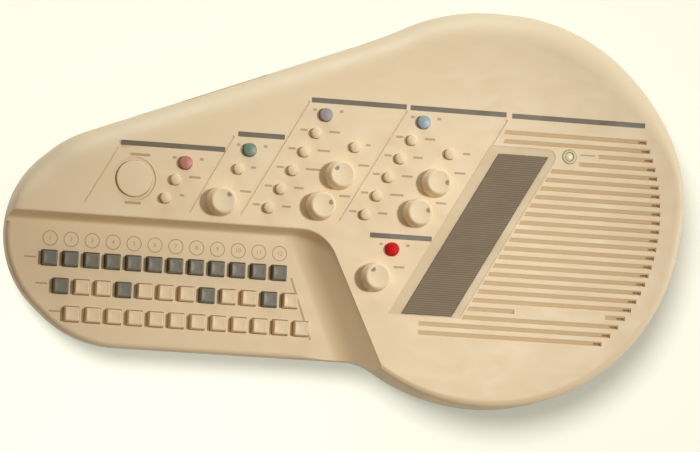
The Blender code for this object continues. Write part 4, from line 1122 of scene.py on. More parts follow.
# %% [markdown]
# What is printed or let into the deck is made last. The dark bars are inlays in their seats,
# the band round the strum plate is a greyer strip, and the lamp has a ring and a milky lens.
# Each inlay stands a hair's breadth inside its seat, so that a fine line shows round it.
# %% Lay the inlays
BAND_MARGIN = 0.12 * MM
BAND_DROP = 0.25 * MM
BAND_SUNK = 0.2 * MM
INLAY_RISE = 0.1 * MM


def band_piece():
    """The strip round the strum plate, with the plate's own opening cut out of it."""
    strip = slab(shifted(band, -BAND_MARGIN), DECK - BAND_DEPTH - BAND_SUNK, DECK - BAND_DROP)
    return carved(strip, slab(seat, DECK - WALL, DECK + WALL), "DIFFERENCE")


BAND_GREY = finish("band_grey", (212, 192, 155), (200, 180, 142), 0.5, size=0.05)
add_piece("strum_band", band_piece(), BAND_GREY, "casing", "cream")
for number, bar in enumerate(BARS, 1):
    inlay = slab(bar_outline(*bar), DECK - BAR_DEPTH - INLAY_RISE, DECK + INLAY_RISE, INLAY_RISE)
    add_piece(f"dark_bar_{number}", inlay, BAR_INK, "casing", "dark_key")
lamp_ring = [(3.8, 0.15), (4.2, 0.35), (5.7, 0.35), (6.15, 0.1), (6.15, -1.4), (3.8, -1.4)]
lamp_lens = [
    (0.0, 0.5), (1.4, 0.45), (2.6, 0.25), (3.4, -0.1), (3.6, -0.5), (3.6, -1.5), (0.0, -1.5),
]
LENS = finish("milky_lens", (238, 226, 188), (228, 212, 170), 0.2, bump=0.02, grain=0.002)
LAMP_OLIVE = finish("lamp_olive", (190, 174, 130), (176, 160, 118), 0.35, size=0.01)


def lifted(profile, height=DECK):
    """A profile given in millimetres from a height, in metres."""
    return [(r * MM, height + h * MM) for r, h in profile]


add_piece("lamp_ring", ring_turned(lifted(lamp_ring), 40, LAMP_PLACE, "lamp_ring"), LAMP_OLIVE,
          "casing", "cream")
add_piece("lamp_lens", turned(lifted(lamp_lens), 32, (*LAMP_PLACE, 0.0)), LENS, "casing", "cream")
print(len(BARS) + 3, "inlays")


# %% [markdown]
# The grey marks beside the controls are printed. A thin slab with round corners that stands a
# hair's breadth proud of the deck gives each of them its own edge. They are plain dashes.
# %% Print the marks
INK_LIFT = 0.06 * MM
DASH = 1.8 * MM
KNOB_DASH = (20.9, 10.0, 9.5)
CAP_TICKS = ((-9.5, 4.0, 3.4), (13.8, 4.0, 3.4))
SELECTOR_DASHES = ((9.5, 11.0, 13.0, 8.5, 7.5), (9.0, 8.5, 10.0, 12.0, 8.0))
SMALL_DASHES = {
    1: (16.6, 3.3, 10.0), 2: (14.3, 3.3, 4.0), 3: (13.1, 2.2, 4.5), 4: (11.6, 2.7, 4.0),
    5: (15.0, 1.4, 6.5),
}
SELECTOR_DASH_START = (11.5, 2.2)
SELECTOR_TICK = (-10.5, 2.4, 6.5)
PAD_DASHES = ((4.0, 20.6, 17.0), (-0.3, -20.4, 14.0))
LAMP_DASH = (16.2, 2.3, 13.0)
BROAD_DASH, SMALL_DASH, FINE_DASH = 2.2 * MM, 1.9 * MM, 1.2 * MM


def dash(place, across, up, length, deck=DECK, width=DASH):
    """A printed dash at an offset, in millimetres, from the control that it belongs to."""
    middle = (place[0] + across * MM, place[1] + up * MM)
    outline = rounded_box_outline(middle, length * MM / 2, width / 2, width / 3, 2)
    return slab(outline, deck - INK_LIFT, deck + INK_LIFT)


def deck_marks():
    """Every printed dash and tick of the high deck."""
    for place in KNOB_PLACES.values():
        yield dash(place, *KNOB_DASH)
    for place in CAP_PLACES.values():
        for tick in CAP_TICKS:
            yield dash(place, *tick, width=BROAD_DASH)
    for number, place in SMALL_PLACES.items():
        yield dash(place, *SMALL_DASHES[number], width=SMALL_DASH)
    for number, place in enumerate(SELECTOR_PLACES):
        length = SELECTOR_DASHES[number // SELECTOR_COUNT][number % SELECTOR_COUNT]
        start, up = SELECTOR_DASH_START
        yield dash(place, start + length / 2, up, length)
        yield dash(place, *SELECTOR_TICK)
    for mark in PAD_DASHES:
        yield dash(PAD_PLACE, *mark, width=BROAD_DASH)
    yield dash(LAMP_PLACE, *LAMP_DASH, width=FINE_DASH)


marks = merged("deck_marks", deck_marks())
add_piece("deck_marks", marks, MARK_INK, "casing", "strum", smooth=False)
print("marks have", len(marks.polygons), "faces")


# %% [markdown]
# Over each key of the first row is a ring with a number in it, each row starts with a dash,
# and a slanted line closes the rows at the right. All of these are thin prints too, and the
# numbers come from Blender's own typeface.
# %% Print the chord rings, their numbers and the row dashes
RING_UP = 16.6 * MM
RING_RADIUS = 6.5 * MM
RING_LINE = 0.8 * MM
NUMBER_HEIGHT = 5.2 * MM
ROW_DASHES = ((-271.4, -66.1), (-260.8, -87.8), (-248.4, -110.6))
ROW_DASH_SIZE = (10.0, 1.3 * MM)
BANK_LINE = ((-47.4, -69.5), (-28.4, -121.1))


def number_mesh(value, place):
    """A plain number as a thin raised print, from Blender's own typeface."""
    curve = bpy.data.curves.new("number", "FONT")
    curve.body = str(value)
    curve.size = NUMBER_HEIGHT
    curve.align_x = "CENTER"
    curve.align_y = "CENTER"
    curve.extrude = INK_LIFT
    holder = new_object("number", curve)
    bpy.context.view_layer.update()
    evaluated = holder.evaluated_get(bpy.context.evaluated_depsgraph_get())
    mesh = bpy.data.meshes.new_from_object(evaluated)
    mesh.transform(Matrix.Translation((*place, CHORD_DECK)))
    bpy.data.objects.remove(holder)
    return mesh


def chord_marks():
    """The rings and numbers over the first row of keys, and the dashes beside the rows."""
    inner, outer = RING_RADIUS - RING_LINE, RING_RADIUS
    low, high = CHORD_DECK - INK_LIFT, CHORD_DECK + INK_LIFT
    line = [(inner, low), (outer, low), (outer, high), (inner, high)]
    for column in range(1, KEY_COLUMNS + 1):
        x, y = KEY_PLACES[(1, column)]
        place = (x, y + RING_UP)
        yield ring_turned(line, 40, place, "ring")
        yield number_mesh(column, place)
    length, width = ROW_DASH_SIZE
    for x, y in ROW_DASHES:
        yield dash((x * MM, y * MM), 0.0, 0.0, length, CHORD_DECK, width)
    yield slab(groove_outline(*BANK_LINE), low, high)


marks = merged("chord_marks", chord_marks())
add_piece("chord_marks", marks, MARK_INK, "casing", "strum", smooth=False)
print("chord marks have", len(marks.polygons), "faces")


# %% [markdown]
# The strum plate is a strip that the fingers brush, with fine ribs across it. Its top is a
# stack of narrow half-round ribs, so the ribs are real and catch the light at any angle.
# %% Rib the strum plate
RIB_PITCH = 1.9 * MM
RIB_HEIGHT = 0.25 * MM
RIB_STEPS = 6
strum_low, strum_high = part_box("strum_plate")


def strum_row(y, height):
    """Left and right end of the plate at one place along its length."""
    left = STRUM_CORNER[0] + math.tan(STRUM_LEAN) * (y - STRUM_CORNER[1])
    return [(left, y, height), (left + STRUM_WIDTH, y, height)]


def ribbed_plate():
    """A slab whose top is a row of low round ribs."""
    count = round(STRUM_LENGTH / RIB_PITCH)
    pitch = STRUM_LENGTH / count
    rows = [strum_row(STRUM_CORNER[1], strum_low.z)]
    for k in range(count * RIB_STEPS + 1):
        wave = abs(math.sin(math.pi * k / RIB_STEPS))
        y = STRUM_CORNER[1] + pitch * k / RIB_STEPS
        rows.append(strum_row(y, strum_high.z - RIB_HEIGHT * (1.0 - wave)))
    rows.append(strum_row(STRUM_CORNER[1] + STRUM_LENGTH, strum_low.z))
    bm = bmesh.new()
    sides = [[bm.verts.new(row[side]) for row in rows] for side in (0, 1)]
    for i in range(len(rows)):
        bm.faces.new((sides[0][i - 1], sides[1][i - 1], sides[1][i], sides[0][i]))
    bm.faces.new(sides[0])
    bm.faces.new(reversed(sides[1]))
    bmesh.ops.recalc_face_normals(bm, faces=bm.faces)
    return mesh_of(bm, "ribbed_plate")


plate = add_piece("ribbed_strum_plate", ribbed_plate(), STRUM, "casing", "strum", ["strum_plate"])
print("strum plate has", len(plate.data.polygons), "faces")


# %% [markdown]
# All the round controls are turned shapes. A knob is a slightly tapered cap with a rounded
# top edge and a shallow dish, and a grey dot near its rim shows where it points. Each is
# built on its own axis and rides on its own body, so that it turns with it.
# %% Turn the knobs
KNOB_RADIUS = 12.6 * MM
KNOB_TOP_RADIUS = 11.3 * MM
KNOB_EDGE = 2.4 * MM
KNOB_DISH = 0.35 * MM
DOT_RADIUS = 2.1 * MM
DOT_REACH = 7.2 * MM
DOT_SUNK, DOT_RISE, DOT_EDGE = 0.3 * MM, 0.2 * MM, 0.1 * MM
KNOB_FOOT_RISE, KNOB_FOOT_INSET = 0.6 * MM, 0.3 * MM
DOT_CLOCK = {
    "melody_volume": 42, "rhythm_tempo": -46, "rhythm_volume": 68,
    "chord_tone": 91, "chord_volume": 75, "master_volume": -38,
}


def quarter_round(radius, height, edge, steps=5):
    """Profile points of a rounded top edge, from the flat top out to the side."""
    return [
        (radius - edge * (1.0 - sine), height - edge * (1.0 - cosine))
        for cosine, sine in quarter_turn(steps)
    ]


def add_knob(name):
    """One knob, with its dot as an inlay in the top."""
    low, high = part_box(name + "_knob")
    skirt, top = DECK + GAP, high.z - KNOB_DISH
    profile = [(0.0, top), (KNOB_TOP_RADIUS - 1.6 * KNOB_EDGE, top)]
    profile += quarter_round(KNOB_TOP_RADIUS, high.z, KNOB_EDGE)
    profile += [(KNOB_RADIUS, skirt + KNOB_FOOT_RISE), (KNOB_RADIUS - KNOB_FOOT_INSET, skirt)]
    profile += [(SHAFT_RADIUS, skirt), (SHAFT_RADIUS, low.z), (0.0, low.z)]
    body = name + "_knob_body"
    place = (*KNOB_PLACES[name], 0.0)
    knob = add_piece(name + "_knob_cap", turned(profile, 64, place), CREAM, body, "cream",
                     [name + "_knob"])
    clock = math.radians(DOT_CLOCK[name])
    middle = (place[0] + DOT_REACH * math.sin(clock), place[1] + DOT_REACH * math.cos(clock))
    dot = slab(circle(middle, DOT_RADIUS, 24), top - DOT_SUNK, top + DOT_RISE, DOT_EDGE)
    add_piece(name + "_dot", dot, DOT_INK, body, "dark_key")
    return knob


for knob_name in KNOBS:
    add_knob(knob_name)
print(len(KNOBS), "knobs turned")


# %% [markdown]
# Push buttons are little turned caps with a domed top, held under the deck by a flange. The
# ten selector buttons sit on the board's own switches, so they ride on the casing.
# %% Turn the buttons
BUTTON_EDGE = 1.0 * MM
FLANGE = 1.2 * MM
FLANGE_THICKNESS = 1.4 * MM
SMALL_RISE = 5.6 * MM
DOME = 0.5 * MM
PAD_EDGE = 0.8 * MM
PAD_DOME = 0.15 * MM


def button(place, radius, top, bottom, flange_top, edge, dome):
    """A round button with a domed top and a flange under the deck."""
    profile = [(0.0, top)]
    inner = radius - edge
    profile += [(inner * k / 3, top - dome * (k / 3) ** 2) for k in (1, 2)]
    profile += quarter_round(radius, top - dome, edge)
    profile += [(radius, flange_top), (radius + FLANGE, flange_top), (radius + FLANGE, bottom)]
    profile += [(0.0, bottom)]
    return turned(profile, 40, (*place, 0.0))


def add_button(node, name, place, radius, material, slot, edge=BUTTON_EDGE, dome=DOME):
    """A button in the place and height of its node."""
    low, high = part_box(node)
    mesh = button(place, radius, high.z, low.z, low.z + FLANGE_THICKNESS, edge, dome)
    return add_piece(name, mesh, material, node + "_body", slot, [node])


for tint, place in CAP_PLACES.items():
    add_button(tint + "_push_cap", tint + "_cap", place, CAP_RADIUS, CAPS[tint], tint)
for k, place in SMALL_PLACES.items():
    add_button(f"small_button_{k}", f"small_cap_{k}", place, SMALL_RADIUS, CREAM, "cream")
add_button("start_pad", "start_pad_cap", PAD_PLACE, PAD_RADIUS, CREAM, "cream", PAD_EDGE, PAD_DOME)
for number, place in enumerate(SELECTOR_PLACES, 1):
    under = DECK - WALL - GAP
    mesh = button(place, SMALL_RADIUS, DECK + SMALL_RISE, under - FLANGE_THICKNESS, under,
                  BUTTON_EDGE, DOME)
    add_piece(f"selector_{number:02d}", mesh, CREAM, "casing", "cream")
print(len(CAP_PLACES) + len(SMALL_PLACES) + 1 + len(SELECTOR_PLACES), "buttons turned")


# %% [markdown]
# The chord keys are square caps with a gentle taper. One mesh serves them all: a stack of
# rounded squares that shrinks as it rises, then a soft edge, then a shallow dish for the
# fingertip. Each key is its own object, placed on its own body.
# %% Mould the chord keys
KEY_TAPER = 0.6 * MM
KEY_EDGE = 0.9 * MM
KEY_FLANGE = 1.1 * MM
KEY_EDGE_STEPS = 5
KEY_FLANGE_CORNER = 1.6 * MM
KEY_FOOT_INSET = 0.05 * MM
KEY_DISH = 0.25 * MM
DARK_IN_SECOND_ROW = (1, 4, 8, 11)


def key_mesh():
    """A key cap centred in plan on the origin, at its own height on the chord deck."""
    low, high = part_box("chord_key_1_01")
    flange_top = CHORD_DECK - WALL - GAP

    def ring(height, margin, radius):
        outline = rounded_box_outline(
            (0.0, 0.0), KEY_LENGTH / 2 + margin, KEY_DEPTH / 2 + margin, radius, 5
        )
        return [(*p, height) for p in outline]

    rings = [ring(height, KEY_FLANGE, KEY_FLANGE_CORNER) for height in (low.z, flange_top)]
    rings += [ring(flange_top, 0.0, KEY_CORNER), ring(CHORD_DECK, -KEY_FOOT_INSET, KEY_CORNER)]
    for cosine, sine in quarter_turn(KEY_EDGE_STEPS):
        inset = KEY_TAPER + KEY_EDGE * (1.0 - cosine)
        rings.append(ring(high.z - KEY_EDGE * (1.0 - sine), -inset, KEY_CORNER))
    for share in (0.75, 0.5, 0.25):
        inset = KEY_TAPER + KEY_EDGE + (1.0 - share) * (KEY_DEPTH / 2 - KEY_TAPER - KEY_EDGE)
        rings.append(ring(high.z - KEY_DISH * (1.0 - share ** 2), -inset, KEY_CORNER * share))
    return loft("key", rings)


def add_keys():
    """All 36 keys; the first row and four of the second are dark."""
    for (row, column), (x, y) in KEY_PLACES.items():
        dark = row == 1 or (row == 2 and column in DARK_IN_SECOND_ROW)
        mesh = key_mesh()
        mesh.transform(Matrix.Translation((x, y, 0.0)))
        node = f"chord_key_{row}_{column:02d}"
        add_piece(
            f"key_cap_{row}_{column:02d}", mesh, DARK_KEY if dark else CREAM_KEY,
            node + "_body", "dark_key" if dark else "cream", [node],
        )


add_keys()
print(len(KEY_PLACES), "keys moulded")


# %% [markdown]
# Under the deck is a board that carries the potentiometers of the knobs, a switch under each
# button and the three sockets. It is hardly ever seen, so its parts are plain but true: turned
# metal cans, black switch cases with a round plunger, and boxes with a threaded nose.
# %% Build the main board
BOARD_THICKNESS = 1.6 * MM
POT_RADIUS = 8.5 * MM
POT_HEIGHT = 7.1 * MM
SWITCH_HALF = 3.0 * MM
PRESSED_ROOM = 3.2 * MM
SOCKET_BODY = (13.0 * MM, 16.0 * MM, 12.0 * MM)
SOCKET_FRONT = 9.15 * MM
BORE_RADIUS = 1.8 * MM
PLUNGER_RADIUS = 2.2 * MM
PLUNGER_RISE = 1.6 * MM
PLUNGER_EDGE = 0.3 * MM
BOARD_FROM_RIDGE = 6.5 * MM
BOARD_FROM_STRUM = 6.0 * MM
BOARD_FROM_REAR = 15.0 * MM
BOARD_PAST_KNOB = 15.6 * MM
BOARD_PAST_CAPS = 24.0 * MM
board_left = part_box("control_board")[0].x


def board_outline():
    """Plan of the board, between the ridge, the strum plate and the straight rear edge."""
    left, ridge_y = board_left, RIDGE_Y + BOARD_FROM_RIDGE
    front = KNOB_PLACES["master_volume"][1] - BOARD_PAST_KNOB
    cap_y = CAP_PLACES["blue"][1]
    rear, lilac_x = cap_y + BOARD_PAST_CAPS, CAP_PLACES["lilac"][0] - BOARD_PAST_CAPS
    base = REAR_POINT - REAR_OUT * BOARD_FROM_REAR

    def ridge_side(y):
        return RIDGE_CORNER_X + BOARD_FROM_RIDGE + math.tan(RIDGE_LEAN) * (RIDGE_Y - y)

    def strum_side(y):
        return STRUM_CORNER[0] - BOARD_FROM_STRUM + math.tan(STRUM_LEAN) * (y - STRUM_CORNER[1])

    def rear_point(x):
        return tuple(base + REAR_ALONG * (x - base.x) / REAR_ALONG.x)

    return [
        (left, ridge_y), (ridge_side(ridge_y), ridge_y), (ridge_side(front), front),
        (strum_side(front), front), (strum_side(cap_y), cap_y), (strum_side(cap_y), rear),
        (lilac_x, rear), rear_point(lilac_x), rear_point(left),
    ]


def pot_mesh(place):
    """A potentiometer's can with its bush, under a knob."""
    shares = (
        (0.0, 1.0), (SHAFT_RADIUS, 1.0), (SHAFT_RADIUS, 0.8), (POT_RADIUS - 0.8 * MM, 0.8),
        (POT_RADIUS, 0.7), (POT_RADIUS, 0.0), (0.0, 0.0),
    )
    profile = [(radius, CONTROL_BOARD_TOP + share * POT_HEIGHT) for radius, share in shares]
    return turned(profile, 32, (*place, 0.0))


def switch_mesh(place):
    """A push switch's case with its plunger."""
    top = DECK - WALL - GAP - PRESSED_ROOM
    case_top = top - PLUNGER_RISE
    case = box((place[0] - SWITCH_HALF, place[1] - SWITCH_HALF, CONTROL_BOARD_TOP),
               (place[0] + SWITCH_HALF, place[1] + SWITCH_HALF, case_top))
    plunger = slab(circle(place, PLUNGER_RADIUS, 20), case_top, top, PLUNGER_EDGE)
    return merged("switch", [case, plunger])


def socket_body(offset):
    """A socket's case behind the rear wall."""
    width, depth, height = SOCKET_BODY
    outline = rounded_box_outline((offset, SOCKET_HEIGHT), width / 2, height / 2, 0.8 * MM, 2)
    return through_rear(outline, [(SOCKET_FRONT, 0.0), (SOCKET_FRONT + depth, 0.0)])


def socket_nose(offset):
    """A socket's bush in the wall, with its bore left open."""
    profile = ((BORE_RADIUS, 10.0), (BORE_RADIUS, 0.6), (BORE_RADIUS + 0.5 * MM, 0.1),
               (SOCKET_HOLE_RADIUS - 0.8 * MM, 0.1), (SOCKET_HOLE_RADIUS - GAP, 0.6),
               (SOCKET_HOLE_RADIUS - GAP, 10.0))
    return tube("nose", [
        rear_ring(socket_circle(offset, radius), LAND_INSET + depth * MM)
        for radius, depth in profile
    ])


board = slab(board_outline(), CONTROL_BOARD_TOP - BOARD_THICKNESS, CONTROL_BOARD_TOP)
add_piece("main_board", board, BOARD, "casing", "board", ["control_board"])
pushed = list(CAP_PLACES.values()) + list(SMALL_PLACES.values()) + [PAD_PLACE] + SELECTOR_PLACES
for name, make, places, material in (
    ("pots", pot_mesh, KNOB_PLACES.values(), STEEL),
    ("switches", switch_mesh, pushed, BLACK),
    ("socket_bodies", socket_body, SOCKET_OFFSETS, BLACK),
    ("socket_noses", socket_nose, SOCKET_OFFSETS, STEEL),
):
    add_piece(name, merged(name, [make(place) for place in places]), material, "casing")
print("main board carries", len(pushed), "switches and", len(KNOB_PLACES), "potentiometers")


# %% [markdown]
# The loudspeaker hangs behind the louvres: a pressed steel basket, a paper cone with a dust
# cap, a rubber roll round it and a magnet. All four are turned about one axis.
# %% Turn the loudspeaker
speaker_low, speaker_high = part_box("speaker")
SPEAKER_PLACE = plan_place("speaker")
CONE_STEPS = 6


def speaker_profiles():
    """Closed profiles in millimetres from the rim's face, one for each part and its finish."""
    cone = [(14.0 + 25.5 * k / CONE_STEPS, -14.0 + 12.2 * (k / CONE_STEPS) ** 0.85)
            for k in range(CONE_STEPS + 1)]
    under = [(r, h - 0.8) for r, h in reversed(cone)]
    yield "cone", PAPER, cone + under
    roll = [(39.5 + 4.5 * k / CONE_STEPS, -1.8 + 1.4 * math.sin(math.pi * k / CONE_STEPS))
            for k in range(CONE_STEPS + 1)]
    yield "roll", RUBBER, roll + [(44.0, -2.6), (39.5, -2.6)]
    yield "basket", BLACK, [
        (44.5, 0.0), (51.0, 0.0), (51.0, -3.0), (45.0, -3.0), (22.0, -20.0), (16.0, -20.0),
        (16.0, -18.5), (21.4, -18.5), (44.5, -1.8),
    ]
    yield "magnet", STEEL, [(8.0, -20.0), (30.0, -20.0), (30.0, -32.0), (8.0, -32.0)]


for label, material, profile in speaker_profiles():
    mesh = ring_turned(lifted(profile, speaker_high.z), 48, SPEAKER_PLACE, label)
    stands_for = ["speaker"] if label == "basket" else ()
    add_piece("speaker_" + label, mesh, material, "casing", "speaker", stands_for)
dust_cap = [(0.0, -9.8), (6.0, -10.4), (11.0, -12.0), (14.2, -14.2), (14.2, -15.0), (0.0, -15.0)]
mesh = turned(lifted(dust_cap, speaker_high.z), 40, (*SPEAKER_PLACE, 0.0))
add_piece("speaker_dust_cap", mesh, PAPER, "casing", "speaker")
print("loudspeaker is", speaker_high.z - speaker_low.z, "deep")


# %% [markdown]
# The lower casing is a shallow hull. Its wall runs straight down from the joint and then
# turns under in a curve, which one formula gives: the inset grows slowly at first and fast
# near the flat bottom. It is a thin wall too, with a bay for the batteries.
# %% Shape the lower casing
HULL_INSET = 25.0 * MM
HULL_RISE = 21.7 * MM
HULL_STEPS = 14
HULL_POWER = 1.65
BAY_WALL = 2.0 * MM
BAY_TOP = HULL_BOTTOM + 29.5 * MM
DOOR_LAP = 3.0 * MM
HINGE_TAB_LENGTH = 3.5 * MM
BAY_LEDGE_RISE = 8.0 * MM
DOOR_THICKNESS = 2.2 * MM
TAB_OFFSETS = (-45.0 * MM, 45.0 * MM)
TAB_HALF = 7.0 * MM
TAB_THICKNESS = 1.1 * MM
TAB_ROOM = 0.8 * MM
SCREW_SINK = 3.4 * MM
SINK_DEPTH = 1.2 * MM
LIP_REACH = 1.4 * MM
BELOW_FLOOR = -1.0 * MM
SCREWS = tuple((x * MM, y * MM) for x, y in (
    (-254, -40), (-124, 55), (-64, -118), (56, 128), (66, -130), (251, 40), (231, -75),
))
FEET = tuple((x * MM, y * MM) for x, y in ((-219, -30), (-194, -98), (201, 95), (201, -95)))
door_low, door_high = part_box("battery_door")
BAY_LOW = Vector((door_low.x + DOOR_LAP, door_low.y + HINGE_TAB_LENGTH + DOOR_LAP))
BAY_HIGH = Vector((door_high.x - DOOR_LAP, door_high.y - DOOR_LAP))


def hull_inset(rise):
    """How far in the outer face is at a height above the flat bottom."""
    share = min(1.0, rise / HULL_RISE)
    return HULL_INSET * (1.0 - math.sqrt(share)) ** HULL_POWER


def hull_ring(height, inset):
    """A ring round the outline at one height."""
    return ring_along(OUTLINE, lambda p, n: inset, lambda p, n: height)


def bay_box(margin, low, high):
    """A box round the battery bay, larger than it by a margin on each side."""
    return box((BAY_LOW.x - margin, BAY_LOW.y - margin, low),
               (BAY_HIGH.x + margin, BAY_HIGH.y + margin, high))


def hinge_rooms():
    """Pockets beside the bay where the door's two tabs sit and turn."""
    edge = BAY_LOW.y - DOOR_LAP
    reach = HINGE_TAB_LENGTH + TAB_ROOM
    middle = (BAY_LOW.x + BAY_HIGH.x) / 2
    for side in TAB_OFFSETS:
        yield box(
            (middle + side - TAB_HALF - GAP, edge - reach,
             HULL_BOTTOM + DOOR_THICKNESS - TAB_THICKNESS - GAP),
            (middle + side + TAB_HALF + GAP, edge + DOOR_LAP + GAP,
             HULL_BOTTOM + DOOR_THICKNESS + reach),
        )


def hull_mesh():
    """The lower casing's wall with its bay, door seat and screw sinks."""
    rim = JOINT - GAP
    rises = [HULL_RISE * (k / HULL_STEPS) ** 2 for k in range(HULL_STEPS + 1)]
    outer = [hull_ring(HULL_BOTTOM + rise, hull_inset(rise)) for rise in rises]
    outer.append(hull_ring(rim, 0.0))
    lip = WALL + GAP + LIP_REACH
    inner = [hull_ring(rim, WALL)]
    for rise in reversed(rises[:-2]):
        inset = hull_inset(rise) + lip * (1.0 - rise / HULL_RISE) + WALL
        inner.append(hull_ring(HULL_BOTTOM + WALL + rise, inset))
    hull = loft("hull", outer + inner)
    floor = HULL_BOTTOM + WALL / 2
    ledge = BAY_WALL + HINGE_TAB_LENGTH + DOOR_LAP
    seat_top = HULL_BOTTOM + DOOR_THICKNESS + GAP
    steps = (
        (ledge, floor, HULL_BOTTOM + BAY_LEDGE_RISE, "UNION"),
        (BAY_WALL, floor, BAY_TOP + BAY_WALL, "UNION"),
        (0.0, BELOW_FLOOR, BAY_TOP, "DIFFERENCE"),
        (DOOR_LAP + GAP, BELOW_FLOOR, seat_top, "DIFFERENCE"),
    )
    for margin, low, high, operation in steps:
        hull = carved(hull, bay_box(margin, low, high), operation)
    hull = cut_out(hull, hinge_rooms())
    sink_top = HULL_BOTTOM + SINK_DEPTH
    return cut_out(hull, [slab(circle(p, SCREW_SINK, 24), BELOW_FLOOR, sink_top) for p in SCREWS])


# The lower casing takes the darker cream, which is painted shade.
lower = add_piece("lower_casing", hull_mesh(), CREAM_SHADED_LOW, "casing", "cream_low", ["bottom_shell"])
print("lower casing has", len(lower.data.polygons), "faces")


# %% [markdown]
# Underneath are four rubber feet and seven screws with a cross cut in their heads, in sinks
# that hide them. The feet are turned and slightly rounded where they meet the table.
# %% Add the feet and the screws
FOOT_RADIUS = 8.0 * MM
FOOT_SUNK = 0.4 * MM
HEAD_RADIUS = 3.0 * MM
HEAD_RISE = 0.9 * MM
HEAD_SUNK = 0.2 * MM
CROSS_HALF = 1.7 * MM
CROSS_WIDTH = 0.35 * MM
CROSS_DEPTH = 0.5 * MM
HEAD_EDGE = (1.0 * MM, 0.35 * MM, 0.12 * MM)


def foot_mesh(place):
    """A rubber foot from the hull's bottom down to the table."""
    reach, top = FOOT_RADIUS, HULL_BOTTOM + FOOT_SUNK
    profile = [(0.0, top), (reach, top), (reach, HULL_BOTTOM)]
    profile += [(reach - 0.6 * MM, 1.2 * MM), (reach - 1.0 * MM, 0.4 * MM)]
    profile += [(reach - 1.8 * MM, 0.0), (3.0 * MM, 0.0), (2.4 * MM, 0.8 * MM), (0.0, 0.8 * MM)]
    return turned(profile, 40, (*place, 0.0))


def screw_mesh(place):
    """A pan head seen from below, with a cross cut into it."""
    top = HULL_BOTTOM + SINK_DEPTH + HEAD_SUNK
    low = HULL_BOTTOM + SINK_DEPTH - HEAD_RISE
    flat, bevel, lift = HEAD_EDGE
    profile = [(0.0, top), (HEAD_RADIUS, top), (HEAD_RADIUS, low + CROSS_DEPTH)]
    profile += [(HEAD_RADIUS - bevel, low + lift), (HEAD_RADIUS - flat, low), (0.0, low)]
    head = turned(profile, 28, (*place, 0.0))
    for wide, tall in ((CROSS_HALF, CROSS_WIDTH), (CROSS_WIDTH, CROSS_HALF)):
        arm = box((place[0] - wide, place[1] - tall, low - PAST),
                  (place[0] + wide, place[1] + tall, low + CROSS_DEPTH))
        head = carved(head, arm, "DIFFERENCE")
    return head


for number, place in enumerate(FEET, 1):
    add_piece(f"foot_{number}", foot_mesh(place), RUBBER, "casing")
screw_heads = merged("screw_heads", [screw_mesh(place) for place in SCREWS])
add_piece("screw_heads", screw_heads, STEEL, "casing")
print(len(FEET), "feet and", len(SCREWS), "screws")


# %% [markdown]
# The battery door lies flush in the bottom. It has two tabs in front that it turns on, a
# springy latch at the rear and a row of ribs for the thumb. It rides on its own body, so it
# swings down and away from the bay.
# %% Make the battery door
RIB_COUNT = 7
RIB_SPACING = 2.6 * MM
FIRST_RIB = 3.0 * MM
RIB_HALF_LENGTH = 12.0 * MM
RIB_SHORTER = 0.9 * MM
RIB_HALF_WIDTH = 0.6 * MM
RIB_CORNER = 0.55 * MM
RIB_DEPTH = 0.7 * MM
DOOR_CORNER = 1.2 * MM
DOOR_BEVEL = 0.4 * MM
LATCH_HALF = 11.0 * MM
LATCH_THICKNESS = 1.6 * MM
LATCH_FROM_WALL = 0.8 * MM
LATCH_ROOT = 0.5 * MM
door_middle = (door_low.x + door_high.x) / 2
door_top = HULL_BOTTOM + DOOR_THICKNESS


def door_mesh():
    """The door's plate with its tabs, latch and thumb ribs."""
    centre = (door_middle, (BAY_LOW.y + BAY_HIGH.y) / 2)
    half = ((BAY_HIGH.x - BAY_LOW.x) / 2 + DOOR_LAP, (BAY_HIGH.y - BAY_LOW.y) / 2 + DOOR_LAP)
    outline = rounded_box_outline(centre, *half, DOOR_CORNER)
    rings = [[(*p, HULL_BOTTOM) for p in shifted(outline, -DOOR_BEVEL)],
             [(*p, HULL_BOTTOM + DOOR_BEVEL) for p in outline], [(*p, door_top) for p in outline]]
    door = loft("door", rings)
    rear = BAY_HIGH.y - LATCH_FROM_WALL
    latch = box((door_middle - LATCH_HALF, rear - LATCH_THICKNESS, door_top - LATCH_ROOT),
                (door_middle + LATCH_HALF, rear, door_high.z))
    tabs = [
        box((door_middle + side - TAB_HALF, door_low.y, door_top - TAB_THICKNESS),
            (door_middle + side + TAB_HALF, BAY_LOW.y, door_top))
        for side in TAB_OFFSETS
    ]
    door = carved(door, merged("tabs", [latch] + tabs), "UNION")
    grooves = []
    for k in range(RIB_COUNT):
        rib_place = (door_middle, BAY_HIGH.y - FIRST_RIB - k * RIB_SPACING)
        reach = RIB_HALF_LENGTH - k * RIB_SHORTER
        outline = rounded_box_outline(rib_place, reach, RIB_HALF_WIDTH, RIB_CORNER, 3)
        grooves.append(slab(outline, HULL_BOTTOM - PAST, HULL_BOTTOM + RIB_DEPTH))
    return cut_out(door, grooves)


# The door takes the darker cream too, which is painted shade.
door = add_piece("door_panel", door_mesh(), CREAM_SHADED_LOW, "door", "cream_low", ["battery_door"])
print("door has", len(door.data.polygons), "faces")


# %% [markdown]
# The bay takes six thick round cells, three in each of two rows. A coil spring presses on
# one end of a row and a flat plate on the other, so the contacts are swept wire and thin
# sheet. The cells themselves are taken out, as they are when the instrument is put away.
# %% Add the contacts
CONTACT_SHEET = 0.4 * MM
SPRING_TURNS = 4
SPRING_WIRE = 0.45 * MM
SPRING_LENGTH = 5.0 * MM
SPRING_REACH = 6.5 * MM
SPRING_NARROWING = 2.5 * MM
ROW_HEIGHT = HULL_BOTTOM + 15.5 * MM
CONTACT_HALF = 9.0 * MM
CONTACT_PLAY = 0.1 * MM
DIMPLE = ((0.0, 1.6), (2.0, 1.3), (3.4, 0.0), (0.0, 0.0))


